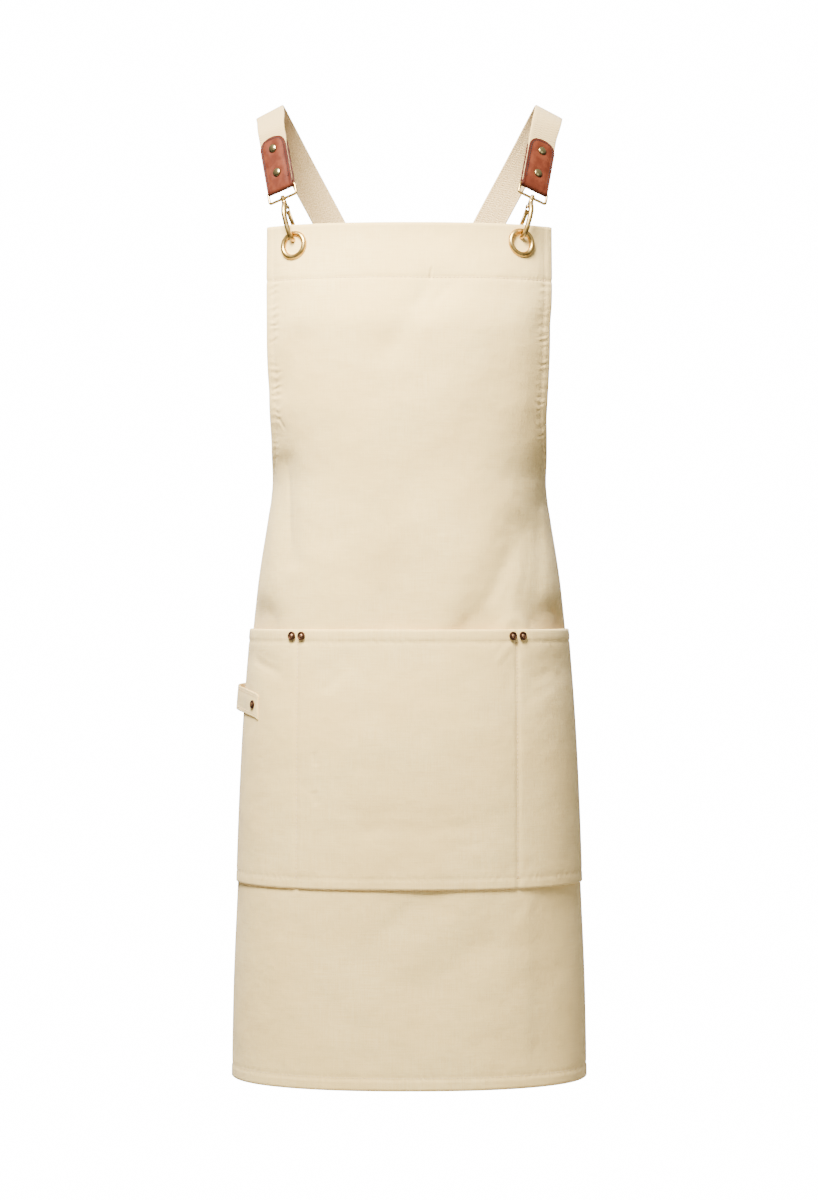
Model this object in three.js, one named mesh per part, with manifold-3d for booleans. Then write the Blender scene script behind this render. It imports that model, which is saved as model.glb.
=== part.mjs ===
import * as THREE from "three";
import { mergeVertices } from "three/addons/utils/BufferGeometryUtils.js";
import Module from "manifold-3d";

// Cross back apron in cotton canvas, as it hangs round a body.
// Millimetres, +Z up, the front towards -Y. The origin is the shoulder rest,
// midway between the undersides of the two straps where they pass over the shoulders.

// Clearance between pieces that touch
const gap = 0.3;

// The body form that the cloth hangs round
const bibDrop = 123;
const apronLength = 863;
const hipHalf = 182;
const frontDepth = 132;
const backDepth = 105;
const roundness = 2.3;

// Cloth walls, hems and facing
const hemHalf = 360;
const cloth = 1.2;
const facingWall = 1.8;
const hemWall = 2.2;
const facing = 55;
const sideHem = 11;
const bottomHem = 12;
const hemStep = 1.5;
const foldDepth = 6;

// Pocket
const pocketDrop = 407;
const pocketHeight = 257;
const pocketHem = 12;
const pocketInset = 13;
const pocketBulge = 1.4;
const dividerLeft = 116;
const dividerRight = 111;
const seamHold = 7;
const seamBand = 12;
const seamSag = 0.35;

// Webbing straps
const webbingWidth = 30;
const webbing = 2;
const shoulderHalf = hipHalf - 39;
const shoulderRise = 28;
const crossDrop = 273;
const strapOverlap = 34;
const strapInset = 12;
const strapBow = 3.9;
const strapSpread = 0.45;

// Leather tabs, measured from the wire loop's top bar
const leather = 1.5;
const leatherWidth = 30;
const leatherLength = 57;
const leatherCorner = 12;
const tabLead = 9;
const barForward = 70;
const barDrop = 85;
const barOut = hipHalf - 53;
const barYaw = 29;

// Wire loops
const loopWire = 2.3;
const loopWidth = 35;
const loopHeight = 14.5;
const bossRadius = 2.7;
const bossHeight = 3.4;

// Snap hooks
const hookWire = 4;
const hookHalf = 9.5;
const hookNeck = 9.5;
const hookCatch = 8.5;
const hookSlack = 1.7;
const swivelPost = 1.3;
const swivelHead = 2.2;
const swivelHeadHeight = 1.4;
const gatePin = 0.8;
const gateLug = 1.8;
const gateCheek = 1.1;
const gateEye = 2.3;
const gateWall = 1.6;

// Eyelets
const eyeletOut = hipHalf - 66;
const eyeletDrop = 20.5;
const eyeletOuter = 15;
const eyeletHole = 9.5;
const eyeletDome = 3.2;
const eyeletBarrel = 0.9;
const washerOuter = 14;
const washerWall = 0.8;
const curlWall = 0.7;
const curlReach = 2.4;
const eyeletSides = 18;

// Rivets
const rivetCap = 4.1;
const rivetDome = 1.8;
const rivetPost = 1.6;
const rivetButton = 1;
const tabRivetLow = 17;
const tabRivetPitch = 27;
const pocketRivetDown = 6;
const pocketRivetSpread = 5.8;

// Side loop on the pocket
const sideLoopStart = 170;
const sideLoopEnd = 316;
const sideLoopDrop = 486;
const sideLoopRise = 12;
const sideLoopWidth = 24;
const sideLoopStand = 8;
const sideLoopRivet = 10;

// Body form: a row for each level of the cloth. at is a share of apronLength, half of hipHalf,
// front of frontDepth, back of backDepth, and edge, the cloth's half width, of hemHalf.
const levels = [
  { at: 0.0, half: 0.88, front: 0.76, back: 0.95, edge: 0.437 },
  { at: 0.064, half: 0.89, front: 0.856, back: 0.97, edge: 0.442 },
  { at: 0.124, half: 0.895, front: 0.94, back: 1.0, edge: 0.445 },
  { at: 0.205, half: 0.868, front: 0.94, back: 1.0, edge: 0.445 },
  { at: 0.252, half: 0.812, front: 0.932, back: 0.98, edge: 0.467 },
  { at: 0.296, half: 0.77, front: 0.924, back: 0.96, edge: 0.556 },
  { at: 0.344, half: 0.8, front: 0.928, back: 0.96, edge: 0.68 },
  { at: 0.39, half: 0.835, front: 0.94, back: 0.97, edge: 0.806 },
  { at: 0.42, half: 0.855, front: 0.947, back: 0.98, edge: 0.9 },
  { at: 0.472, half: 0.882, front: 0.955, back: 1.0, edge: 0.93 },
  { at: 0.611, half: 0.931, front: 1.0, back: 1.0, edge: 0.955 },
  { at: 0.769, half: 0.967, front: 0.992, back: 0.99, edge: 0.978 },
  { at: 0.912, half: 0.994, front: 0.985, back: 0.98, edge: 0.993 },
  { at: 1.0, half: 1.0, front: 0.985, back: 0.98, edge: 1.0 },
];

// Folds of the apron cloth, each a soft valley along a line. x is a share of hipHalf from the
// centre, at a share of apronLength, wide a share of hipHalf and deep a share of foldDepth.
const clothFolds = [
  { x0: -0.6, at0: 0.134, x1: -0.71, at1: 0.19, wide: 0.07, deep: -0.35 },
  { x0: 0.11, at0: 0.07, x1: -0.1, at1: 0.144, wide: 0.06, deep: -0.35 },
  { x0: 0.24, at0: 0.07, x1: 0.115, at1: 0.1, wide: 0.05, deep: -0.25 },
  { x0: -0.68, at0: 0.278, x1: -0.66, at1: 0.388, wide: 0.06, deep: -0.5 },
  { x0: 0.75, at0: 0.12, x1: 0.74, at1: 0.22, wide: 0.08, deep: -0.6 },
  { x0: 0.72, at0: 0.33, x1: 0.69, at1: 0.46, wide: 0.06, deep: -0.7 },
  { x0: 0.61, at0: 0.358, x1: 0.38, at1: 0.47, wide: 0.09, deep: -0.8 },
  { x0: 0.37, at0: 0.475, x1: 0.36, at1: 0.56, wide: 0.1, deep: -0.9 },
  { x0: -0.12, at0: 0.42, x1: -0.05, at1: 0.6, wide: 0.2, deep: -1.0 },
  { x0: -0.82, at0: 0.46, x1: -0.84, at1: 0.62, wide: 0.1, deep: -1.2 },
  { x0: 0.81, at0: 0.46, x1: 0.83, at1: 0.62, wide: 0.1, deep: -1.2 },
  { x0: 0.55, at0: 0.2, x1: -0.3, at1: 0.36, wide: 0.16, deep: -0.3 },
  { x0: 0.1, at0: 0.79, x1: -0.23, at1: 0.84, wide: 0.09, deep: -0.6 },
  { x0: 0.39, at0: 0.835, x1: 0.1, at1: 0.885, wide: 0.09, deep: -0.6 },
  { x0: 0.8, at0: 0.8, x1: 0.72, at1: 0.95, wide: 0.08, deep: -0.6 },
];

// Folds of the pocket, in the same columns.
const pocketFolds = [
  { x0: 0.62, at0: 0.535, x1: 0.8, at1: 0.517, wide: 0.05, deep: -0.35 },
  { x0: -0.84, at0: 0.505, x1: -0.68, at1: 0.52, wide: 0.05, deep: -0.25 },
  { x0: -0.48, at0: 0.53, x1: -0.35, at1: 0.51, wide: 0.06, deep: -0.25 },
  { x0: -0.5, at0: 0.695, x1: 0.5, at1: 0.7, wide: 0.08, deep: -0.25 },
];

// Strap route from the tab to the back: the webbing's middle, for the strap on the -X side.
// x is a share of shoulderHalf, y of backDepth, z of crossDrop below the rest; over is 1 where
// the strap keeps to its own side of the crossing, and turn is how far it lies as at the shoulder.
const strapRoute = [
  { x: -0.99, y: -0.25, z: -0.03, over: 0, turn: 0.6 },
  { x: -1.0, y: 0.0, z: 0.0, over: 0, turn: 1 },
  { x: -0.945, y: 0.3, z: -0.045, over: 0, turn: 1 },
  { x: -0.79, y: 0.68, z: -0.19, over: 0, turn: 1 },
  { x: -0.6, y: 0.88, z: -0.37, over: 1, turn: 1 },
  { x: -0.32, y: 0.96, z: -0.65, over: 1, turn: 1 },
  { x: 0.0, y: 0.97, z: -1.0, over: 1, turn: 1 },
  { x: 0.3, y: 0.9, z: -1.35, over: 1, turn: 1 },
];

// The two sides hang a little differently. lean is the tab's slope from upright and rise the
// wire loop's slope in degrees; inward and up move its eyelet and tab to the centre and up.
const sides = [
  { name: "left", sign: -1, over: 1, lean: 19, rise: 13.5, inward: 0, up: 0 },
  { name: "right", sign: 1, over: -1, lean: 26, rise: 10, inward: 3.5, up: 2.5 },
];

const wasm = await Module();
wasm.setup();

const colours = {
  canvas: new THREE.MeshStandardMaterial({ color: 0xe6dac4, roughness: 0.9, metalness: 0 }),
  webbing: new THREE.MeshStandardMaterial({ color: 0xdccfbd, roughness: 0.95, metalness: 0 }),
  leather: new THREE.MeshStandardMaterial({ color: 0xb5643f, roughness: 0.5, metalness: 0 }),
  gold: new THREE.MeshStandardMaterial({ color: 0xe3c98f, roughness: 0.25, metalness: 1 }),
  brass: new THREE.MeshStandardMaterial({ color: 0xa89a6c, roughness: 0.3, metalness: 1 }),
  copper: new THREE.MeshStandardMaterial({ color: 0x7d5a3c, roughness: 0.4, metalness: 1 }),
};

const vector = (x, y, z) => new THREE.Vector3(x, y, z);

// Value of a column of a table at a share, rising and falling smoothly from row to row
function along(rows, column, at) {
  const last = rows.length - 1;
  const place = THREE.MathUtils.clamp(at, rows[0].at, rows[last].at);
  let row = 0;
  while (row < last - 1 && rows[row + 1].at < place) row += 1;
  const slope = (index) => {
    if (index < 0 || index >= last) return 0;
    return (rows[index + 1][column] - rows[index][column]) / (rows[index + 1].at - rows[index].at);
  };
  const tangent = (index) => {
    const before = slope(index - 1);
    const after = slope(index);
    return before * after <= 0 ? 0 : (2 * before * after) / (before + after);
  };
  const run = rows[row + 1].at - rows[row].at;
  const t = (place - rows[row].at) / run;
  const rise = rows[row + 1][column] - rows[row][column];
  const start = tangent(row) * run;
  const finish = tangent(row + 1) * run;
  return rows[row][column] + t * start + t * t * (3 * rise - 2 * start - finish)
    + t * t * t * (start + finish - 2 * rise);
}

// One level of the body form as a fine half outline from the centre front to the centre back
const sectionSteps = 240;
const sections = new Map();
function section(drop) {
  const key = drop.toFixed(3);
  if (sections.has(key)) return sections.get(key);
  const at = drop / apronLength;
  const half = along(levels, "half", at) * hipHalf;
  const front = along(levels, "front", at) * frontDepth;
  const back = along(levels, "back", at) * backDepth;
  const power = 2 / roundness;
  const points = [];
  const lengths = [0];
  for (let step = 0; step <= sectionSteps; step += 1) {
    const turn = (step / sectionSteps) * Math.PI;
    const across = Math.max(Math.sin(turn), 0) ** power;
    const deep = Math.abs(Math.cos(turn)) ** power;
    points.push(new THREE.Vector2(half * across, Math.cos(turn) > 0 ? -front * deep : back * deep));
    if (step > 0) lengths.push(lengths[step - 1] + points[step].distanceTo(points[step - 1]));
  }
  const made = { points, lengths };
  sections.set(key, made);
  return made;
}

// Point on the smooth body form, at an arc length from the centre front and a drop from the bib's top
function formPoint(arc, drop) {
  const { points, lengths } = section(drop);
  const far = Math.abs(arc);
  let low = 0;
  let high = sectionSteps;
  while (high - low > 1) {
    const middle = (low + high) >> 1;
    if (lengths[middle] <= far) low = middle;
    else high = middle;
  }
  const flat = points[low].clone().lerp(points[high], (far - lengths[low]) / (lengths[high] - lengths[low]));
  return vector(Math.sign(arc) * flat.x, flat.y, -bibDrop - drop);
}

// Frame of a surface at a place: the point, the outward normal, and the way up along the cloth
function frameOn(surface, arc, drop) {
  const step = 1;
  const across = surface(arc + step, drop).sub(surface(arc - step, drop)).normalize();
  const up = surface(arc, drop - step).sub(surface(arc, drop + step)).normalize();
  const out = across.clone().cross(up).normalize();
  return { point: surface(arc, drop), out, up, across: up.clone().cross(out) };
}

// Depth of the folds in a table at a place on the form, fading out round the sides
function foldsAt(rows, place, drop) {
  const fromSide = THREE.MathUtils.smoothstep(-place.y / frontDepth, 0, 0.25);
  let sum = 0;
  for (const fold of rows) {
    const from = new THREE.Vector2(fold.x0 * hipHalf, fold.at0 * apronLength);
    const run = new THREE.Vector2(fold.x1 * hipHalf, fold.at1 * apronLength).sub(from);
    const here = new THREE.Vector2(place.x, drop).sub(from);
    const share = THREE.MathUtils.clamp(here.dot(run) / run.lengthSq(), 0, 1);
    const away = here.sub(run.multiplyScalar(share)).length() / (fold.wide * hipHalf);
    sum += fold.deep * foldDepth * Math.exp(-away * away);
  }
  return sum * fromSide;
}

// How free the cloth is to fold away from the pocket: it isn't where their seams hold it
function freeOfSeams(arc, drop) {
  const beside = Math.abs(Math.abs(arc) - dividerAt(arc));
  const above = Math.max(pocketDrop - drop, 0);
  return THREE.MathUtils.smoothstep(Math.hypot(beside, above), seamBand, seamBand + seamHold);
}

// The cloth's outer face and the pocket's outer face
function clothSurface(arc, drop) {
  const frame = frameOn(formPoint, arc, drop);
  const fold = Math.max(foldsAt(clothFolds, frame.point, drop), -foldDepth) * freeOfSeams(arc, drop);
  return frame.point.addScaledVector(frame.out, fold);
}

const clothHalf = (drop) => along(levels, "edge", drop / apronLength) * hemHalf;
const pocketHalf = (drop) => clothHalf(drop) - pocketInset;
const dividerAt = (arc) => (arc < 0 ? dividerLeft : dividerRight);

// How far the pocket stands off the form: nothing at its seams, most between them at the mouth
function pocketStand(arc, drop) {
  const far = Math.abs(arc);
  const seam = dividerAt(arc);
  const edge = pocketHalf(drop);
  const across = far < seam
    ? Math.cos((arc / seam) * Math.PI * 0.5)
    : Math.sin(((far - seam) / (edge - seam)) * Math.PI);
  const down = Math.cos(((drop - pocketDrop) / pocketHeight) * Math.PI * 0.5);
  return pocketBulge * Math.max(across, 0) ** 0.7 * Math.max(down, 0) ** 0.7;
}

const pocketWallAt = (drop) => (drop < pocketDrop + pocketHem + hemStep * 0.5 ? hemWall : cloth);

function pocketSurface(arc, drop) {
  const frame = frameOn(formPoint, arc, drop);
  const fold = foldsAt(pocketFolds, frame.point, drop);
  const stand = Math.max(pocketStand(arc, drop) + fold, 0);
  return frame.point.addScaledVector(frame.out, stand + gap + pocketWallAt(drop));
}

// A closed wall from a grid of outer points and a thickness at each, with its own rim
function wall(columns, rows, outerAt, thickAt) {
  const grid = [];
  for (let row = 0; row <= rows; row += 1) {
    for (let column = 0; column <= columns; column += 1) grid.push(outerAt(column, row));
  }
  const at = (column, row) => grid[row * (columns + 1) + column];
  const positions = [];
  for (const point of grid) positions.push(point.x, point.y, point.z);
  for (let row = 0; row <= rows; row += 1) {
    for (let column = 0; column <= columns; column += 1) {
      const across = at(Math.min(column + 1, columns), row).clone().sub(at(Math.max(column - 1, 0), row));
      const down = at(column, Math.min(row + 1, rows)).clone().sub(at(column, Math.max(row - 1, 0)));
      const inward = across.cross(down).normalize();
      const point = at(column, row).clone().addScaledVector(inward, thickAt(column, row));
      positions.push(point.x, point.y, point.z);
    }
  }
  const count = grid.length;
  const faces = [];
  const quad = (a, b, c, d) => faces.push(a, b, c, a, c, d);
  const index = (column, row) => row * (columns + 1) + column;
  for (let row = 0; row < rows; row += 1) {
    for (let column = 0; column < columns; column += 1) {
      const a = index(column, row);
      const b = index(column + 1, row);
      const c = index(column + 1, row + 1);
      const d = index(column, row + 1);
      quad(a, d, c, b);
      quad(a + count, b + count, c + count, d + count);
    }
  }
  for (let column = 0; column < columns; column += 1) {
    const top = index(column, 0);
    const foot = index(column, rows);
    quad(top, top + 1, top + 1 + count, top + count);
    quad(foot + 1, foot, foot + count, foot + 1 + count);
  }
  for (let row = 0; row < rows; row += 1) {
    const near = index(0, row);
    const away = index(columns, row);
    const below = columns + 1;
    quad(near + below, near, near + count, near + below + count);
    quad(away, away + below, away + below + count, away + count);
  }
  return outward(closed(positions, faces));
}

// A geometry with shared corners from its points and faces
function closed(positions, faces) {
  const geometry = new THREE.BufferGeometry();
  geometry.setAttribute("position", new THREE.Float32BufferAttribute(positions, 3));
  geometry.setIndex(faces);
  return geometry;
}

// The same geometry with its shared corners merged
function merged(geometry) {
  const plain = geometry.clone();
  plain.deleteAttribute("normal");
  plain.deleteAttribute("uv");
  return mergeVertices(plain, 1e-4);
}

// The same geometry with its faces turned outwards
function outward(geometry) {
  const made = merged(geometry);
  const place = made.getAttribute("position");
  const index = made.getIndex();
  const corner = (k) => new THREE.Vector3().fromBufferAttribute(place, index.getX(k));
  let volume = 0;
  for (let k = 0; k < index.count; k += 3) volume += corner(k).dot(corner(k + 1).cross(corner(k + 2)));
  if (volume < 0) {
    for (let k = 0; k < index.count; k += 3) {
      const first = index.getX(k);
      index.setX(k, index.getX(k + 1));
      index.setX(k + 1, first);
    }
  }
  return made;
}

// Cuts and joins
function solid(geometry) {
  const made = outward(geometry);
  const vertProperties = new Float32Array(made.getAttribute("position").array);
  const triVerts = new Uint32Array(made.getIndex().array);
  return new wasm.Manifold(new wasm.Mesh({ numProp: 3, vertProperties, triVerts }));
}

function shaped(manifold) {
  const mesh = manifold.getMesh();
  return closed(Array.from(mesh.vertProperties), Array.from(mesh.triVerts));
}

function cut(geometry, cutters) {
  return shaped(cutters.reduce((left, cutter) => left.subtract(solid(cutter)), solid(geometry)));
}

function joined(parts) {
  return shaped(parts.slice(1).reduce((left, part) => left.add(solid(part)), solid(parts[0])));
}

// A turned piece: a closed profile of [radius, height] pairs about an axis through a point
function turned(profile, origin, axis, sidesRound) {
  const points = profile.map(([radius, height]) => new THREE.Vector2(radius, height));
  const lathe = new THREE.LatheGeometry(points, sidesRound);
  lathe.applyQuaternion(new THREE.Quaternion().setFromUnitVectors(vector(0, 1, 0), axis));
  lathe.translate(origin.x, origin.y, origin.z);
  return lathe;
}

// A rod between two heights on an axis
function rod(radius, low, high, origin, axis, sidesRound) {
  const profile = [[0, low], [radius, low], [radius, high], [0, high]];
  return turned(profile, origin, axis, sidesRound);
}

// A box given in a frame by its middle and its three sizes
function block(frame, middle, sizes) {
  const box = new THREE.BoxGeometry(sizes[0], sizes[1], sizes[2]);
  box.translate(middle[0], middle[1], middle[2]);
  return inFrame(box, frame);
}

// A geometry drawn as x across, y out and z up, placed in a frame
function inFrame(geometry, frame) {
  const basis = new THREE.Matrix4().makeBasis(frame.across, frame.out, frame.up);
  basis.setPosition(frame.point);
  return outward(geometry.clone().applyMatrix4(basis));
}

function inFramePoint(frame, x, y, z) {
  return frame.point.clone().addScaledVector(frame.across, x).addScaledVector(frame.out, y)
    .addScaledVector(frame.up, z);
}

// A round wire along points in a frame, closed into a ring or open
function wire(frame, points, radius, steps, round, isRing) {
  const curve = new THREE.CatmullRomCurve3(points, isRing, "centripetal");
  const places = curve.getSpacedPoints(steps);
  if (isRing) places.pop();
  const count = places.length;
  const positions = [];
  const faces = [];
  for (let step = 0; step < count; step += 1) {
    const tangent = curve.getTangentAt(step / (isRing ? count : count - 1));
    const side = isRing || Math.abs(tangent.x) < 0.9 ? vector(1, 0, 0) : vector(0, 1, 0);
    const flat = isRing ? vector(0, 1, 0) : side;
    const first = flat.addScaledVector(tangent, -flat.dot(tangent)).normalize();
    const second = tangent.clone().cross(first);
    for (let k = 0; k < round; k += 1) {
      const turn = ((k + 0.5) / round) * Math.PI * 2;
      const point = places[step].clone().addScaledVector(first, radius * Math.cos(turn))
        .addScaledVector(second, radius * Math.sin(turn));
      positions.push(point.x, point.y, point.z);
    }
  }
  const spans = isRing ? count : count - 1;
  for (let step = 0; step < spans; step += 1) {
    for (let k = 0; k < round; k += 1) {
      const a = step * round + k;
      const b = step * round + ((k + 1) % round);
      const c = ((step + 1) % count) * round + ((k + 1) % round);
      const d = ((step + 1) % count) * round + k;
      faces.push(a, b, c, a, c, d);
    }
  }
  if (!isRing) {
    for (let k = 1; k < round - 1; k += 1) {
      faces.push(0, k + 1, k);
      faces.push((count - 1) * round, (count - 1) * round + k, (count - 1) * round + k + 1);
    }
  }
  return inFrame(closed(positions, faces), frame);
}

// A rivet: a domed cap in front, a post and a flat button behind
function rivet(origin, axis, stack) {
  const back = -stack - gap;
  const profile = [
    [0, gap + rivetDome],
    [rivetCap * 0.65, gap + rivetDome * 0.75],
    [rivetCap, gap],
    [rivetPost, gap],
    [rivetPost, back],
    [rivetCap * 0.9, back],
    [rivetCap * 0.8, back - rivetButton],
    [0, back - rivetButton],
  ];
  return turned(profile, origin, axis, 10);
}

// How far each cutter reaches on either side of the piece that it drills
const through = 20;

const rivetHole = (origin, axis) => rod(rivetPost + gap, -through, through, origin, axis, 10);

// The whole apron as one scene graph
const apron = new THREE.Group();
function add(name, geometry, material) {
  const mesh = new THREE.Mesh(geometry, material);
  mesh.name = name;
  apron.add(mesh);
}

// A left-hand geometry, or its mirror image for the right
function onSide(geometry, side) {
  return side.sign < 0 ? outward(geometry) : outward(geometry.clone().scale(-1, 1, 1));
}

// Even steps from one number to another, with the first left out
function spaced(from, to, count) {
  return Array.from({ length: count }, (_, step) => from + ((to - from) * (step + 1)) / count);
}

// Lines of the cloth's grid: drops of its rows, and arcs of its columns at a drop
const clothDrops = [
  0,
  ...spaced(0, facing, 2),
  facing + hemStep,
  ...spaced(facing + hemStep, pocketDrop, 10),
  pocketDrop + pocketHem,
  pocketDrop + pocketHem + hemStep,
  ...spaced(pocketDrop + pocketHem + hemStep, pocketDrop + pocketHeight, 6),
  ...spaced(pocketDrop + pocketHeight, apronLength - bottomHem - hemStep, 3),
  apronLength - bottomHem,
  apronLength,
];

function clothArcs(drop) {
  const edge = clothHalf(drop);
  const inner = edge - sideHem - hemStep;
  return [
    -edge,
    -edge + sideHem,
    -inner,
    ...spaced(-inner, -dividerLeft - seamBand, 7),
    -dividerLeft + seamBand,
    ...spaced(-dividerLeft + seamBand, dividerRight - seamBand, 7),
    dividerRight + seamBand,
    ...spaced(dividerRight + seamBand, inner, 7),
    edge - sideHem,
    edge,
  ];
}

function clothWall(column, row, columns) {
  const drop = clothDrops[row];
  const isHem = column < 2 || column > columns - 2 || drop > apronLength - bottomHem - hemStep * 0.5;
  if (isHem) return hemWall;
  return drop < facing + hemStep * 0.5 ? facingWall : cloth;
}

const clothColumns = clothArcs(0).length - 1;
const clothPoint = (column, row) => clothSurface(clothArcs(clothDrops[row])[column], clothDrops[row]);
const clothSheet = wall(clothColumns, clothDrops.length - 1, clothPoint,
  (column, row) => clothWall(column, row, clothColumns));

// The pocket keeps the cloth's own grid lines, so that it lies on it without touching
const pocketDrops = clothDrops.filter((drop) => drop >= pocketDrop && drop <= pocketDrop + pocketHeight);
const pocketColumns = clothColumns - 4;
const pocketPoint = (column, row) => pocketSurface(clothArcs(pocketDrops[row])[column + 2], pocketDrops[row]);
const pocketSheet = wall(pocketColumns, pocketDrops.length - 1, pocketPoint,
  (column, row) => pocketWallAt(pocketDrops[row]));

// Arc length at which the form reaches a distance from the centre line
function arcAtX(x, drop) {
  const { points, lengths } = section(drop);
  const index = points.findIndex((point) => point.x >= x);
  const share = (x - points[index - 1].x) / (points[index].x - points[index - 1].x);
  return lengths[index - 1] + share * (lengths[index] - lengths[index - 1]);
}

const clothCuts = [];
const pocketCuts = [];

// Eyelets: a domed ring with its barrel through the cloth, curled over a washer behind
function eyeletFrame(side) {
  const drop = eyeletDrop - side.up;
  return frameOn(clothSurface, -arcAtX(eyeletOut - side.inward, drop), drop);
}

const barrelOuter = eyeletHole + eyeletBarrel;
const washerFront = -facingWall - gap;
const curlFront = washerFront - washerWall - gap;

function eyeletRing(frame) {
  const seat = gap;
  const middle = (eyeletHole + eyeletOuter) / 2;
  const profile = [
    [eyeletHole, curlFront - curlWall],
    [eyeletHole, seat],
    [middle - 1.4, seat + eyeletDome * 0.9],
    [middle + 0.6, seat + eyeletDome],
    [eyeletOuter - 0.8, seat + eyeletDome * 0.6],
    [eyeletOuter, seat],
    [barrelOuter, seat],
    [barrelOuter, curlFront],
    [barrelOuter + curlReach, curlFront],
    [barrelOuter + curlReach, curlFront - curlWall],
    [eyeletHole, curlFront - curlWall],
  ];
  return turned(profile, frame.point, frame.out, eyeletSides);
}

function eyeletWasher(frame) {
  const inner = barrelOuter + gap;
  const back = washerFront - washerWall;
  const profile = [
    [inner, washerFront],
    [inner, back],
    [washerOuter - washerWall, back],
    [washerOuter, washerFront],
    [inner, washerFront],
  ];
  return turned(profile, frame.point, frame.out, eyeletSides);
}

for (const side of sides) {
  const frame = eyeletFrame(side);
  const hole = rod(barrelOuter + gap, -through, through, frame.point, frame.out, eyeletSides);
  const frontBed = rod(eyeletOuter + gap, 0, through, frame.point, frame.out, eyeletSides);
  const backBed = rod(washerOuter + gap, -through, -facingWall, frame.point, frame.out, eyeletSides);
  clothCuts.push(onSide(hole, side), onSide(frontBed, side), onSide(backBed, side));
  add(`eyelet_${side.name}`, onSide(eyeletRing(frame), side), colours.gold);
  add(`eyelet_washer_${side.name}`, onSide(eyeletWasher(frame), side), colours.gold);
}

// Leather tab frame: its origin is the middle of the wire loop's top bar
function tabFrame(side) {
  const lean = THREE.MathUtils.degToRad(side.lean);
  const yaw = THREE.MathUtils.degToRad(barYaw);
  const rise = THREE.MathUtils.degToRad(side.rise);
  const up = vector(-0.17, Math.sin(lean), Math.cos(lean)).normalize();
  const across = vector(Math.cos(yaw), -Math.sin(yaw), Math.sin(rise));
  across.addScaledVector(up, -across.dot(up)).normalize();
  const out = up.clone().cross(across).negate();
  const point = vector(-barOut + side.inward, -barForward, -barDrop);
  return { point, across, out, up };
}

// Half the space inside the folded tab, for the webbing and for the loop's bar
const tabInside = Math.max(webbing / 2, loopWire / 2) + gap;

function leatherTab(frame) {
  const outer = tabInside + leather;
  const profile = new THREE.Shape();
  profile.moveTo(-outer, leatherLength);
  profile.lineTo(-outer, 0);
  profile.absarc(0, 0, outer, Math.PI, Math.PI * 2, false);
  profile.lineTo(outer, leatherLength);
  profile.lineTo(tabInside, leatherLength);
  profile.lineTo(tabInside, 0);
  profile.absarc(0, 0, tabInside, Math.PI * 2, Math.PI, true);
  profile.lineTo(-tabInside, leatherLength);
  profile.closePath();
  const strip = new THREE.ExtrudeGeometry(profile, { depth: leatherWidth, bevelEnabled: false, curveSegments: 6 });
  // The profile's x runs out of the tab and its y up, and the extrusion goes across it
  strip.translate(0, 0, -leatherWidth / 2);
  strip.applyMatrix4(new THREE.Matrix4().makeBasis(vector(0, 1, 0), vector(0, 0, 1), vector(1, 0, 0)));
  const half = leatherWidth / 2;
  const outline = new THREE.Shape();
  outline.moveTo(-half, -outer - 1);
  outline.lineTo(half, -outer - 1);
  outline.lineTo(half, leatherLength - leatherCorner);
  outline.absarc(half - leatherCorner, leatherLength - leatherCorner, leatherCorner, 0, Math.PI / 2, false);
  outline.absarc(leatherCorner - half, leatherLength - leatherCorner, leatherCorner, Math.PI / 2, Math.PI, false);
  outline.closePath();
  const slab = new THREE.ExtrudeGeometry(outline, { depth: 4 * outer, bevelEnabled: false, curveSegments: 4 });
  slab.translate(0, 0, -2 * outer);
  slab.applyMatrix4(new THREE.Matrix4().makeBasis(vector(1, 0, 0), vector(0, 0, 1), vector(0, -1, 0)));
  const tab = shaped(solid(strip).intersect(solid(slab)));
  return inFrame(tab, frame);
}

// The wire loop: a rounded rectangle of wire, with a drilled boss for the swivel on its lower bar
const loopDrop = loopHeight - loopWire;
function wireLoop(frame) {
  const halfWide = (loopWidth - loopWire) / 2;
  const round = loopWire * 0.5;
  const points = [
    vector(-halfWide + round, 0, 0),
    vector(0, 0, 0),
    vector(halfWide - round, 0, 0),
    vector(halfWide - round * 0.3, 0, -round * 0.3),
    vector(halfWide, 0, -round),
    vector(halfWide, 0, -loopDrop + round),
    vector(halfWide - round * 0.3, 0, -loopDrop + round * 0.3),
    vector(halfWide - round, 0, -loopDrop),
    vector(0, 0, -loopDrop),
    vector(-halfWide + round, 0, -loopDrop),
    vector(-halfWide + round * 0.3, 0, -loopDrop + round * 0.3),
    vector(-halfWide, 0, -loopDrop + round),
    vector(-halfWide, 0, -round),
    vector(-halfWide + round * 0.3, 0, -round * 0.3),
  ];
  const ring = wire(frame, points, loopWire / 2, 26, 5, true);
  const middle = inFramePoint(frame, 0, 0, -loopDrop);
  const boss = rod(bossRadius, -bossHeight / 2, bossHeight / 2, middle, frame.swivel, 8);
  const drilled = rod(swivelPost + gap, -bossHeight, bossHeight, middle, frame.swivel, 8);
  return cut(joined([ring, boss]), [drilled]);
}

// The hook's frame: its origin is the swivel in the loop's lower bar, up the way to the swivel
// from the eyelet's top, and out the way that the eyelet faces
const hookRadius = hookWire / 2;
const eyeletStackFront = gap + eyeletDome;
function hookFrame(side) {
  const eyelet = eyeletFrame(side);
  const tab = tabFrame(side);
  const point = inFramePoint(tab, 0, 0, -loopDrop);
  const hold = inFramePoint(eyelet, 0, eyeletStackFront + gap + hookRadius - hookHalf, 0)
    .addScaledVector(eyelet.up, eyeletHole - hookRadius - hookSlack);
  const up = point.clone().sub(hold);
  const length = up.length();
  up.normalize();
  const out = eyelet.out.clone().addScaledVector(up, -eyelet.out.dot(up)).normalize();
  return { point, up, out, across: up.clone().cross(out).negate(), length };
}

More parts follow.
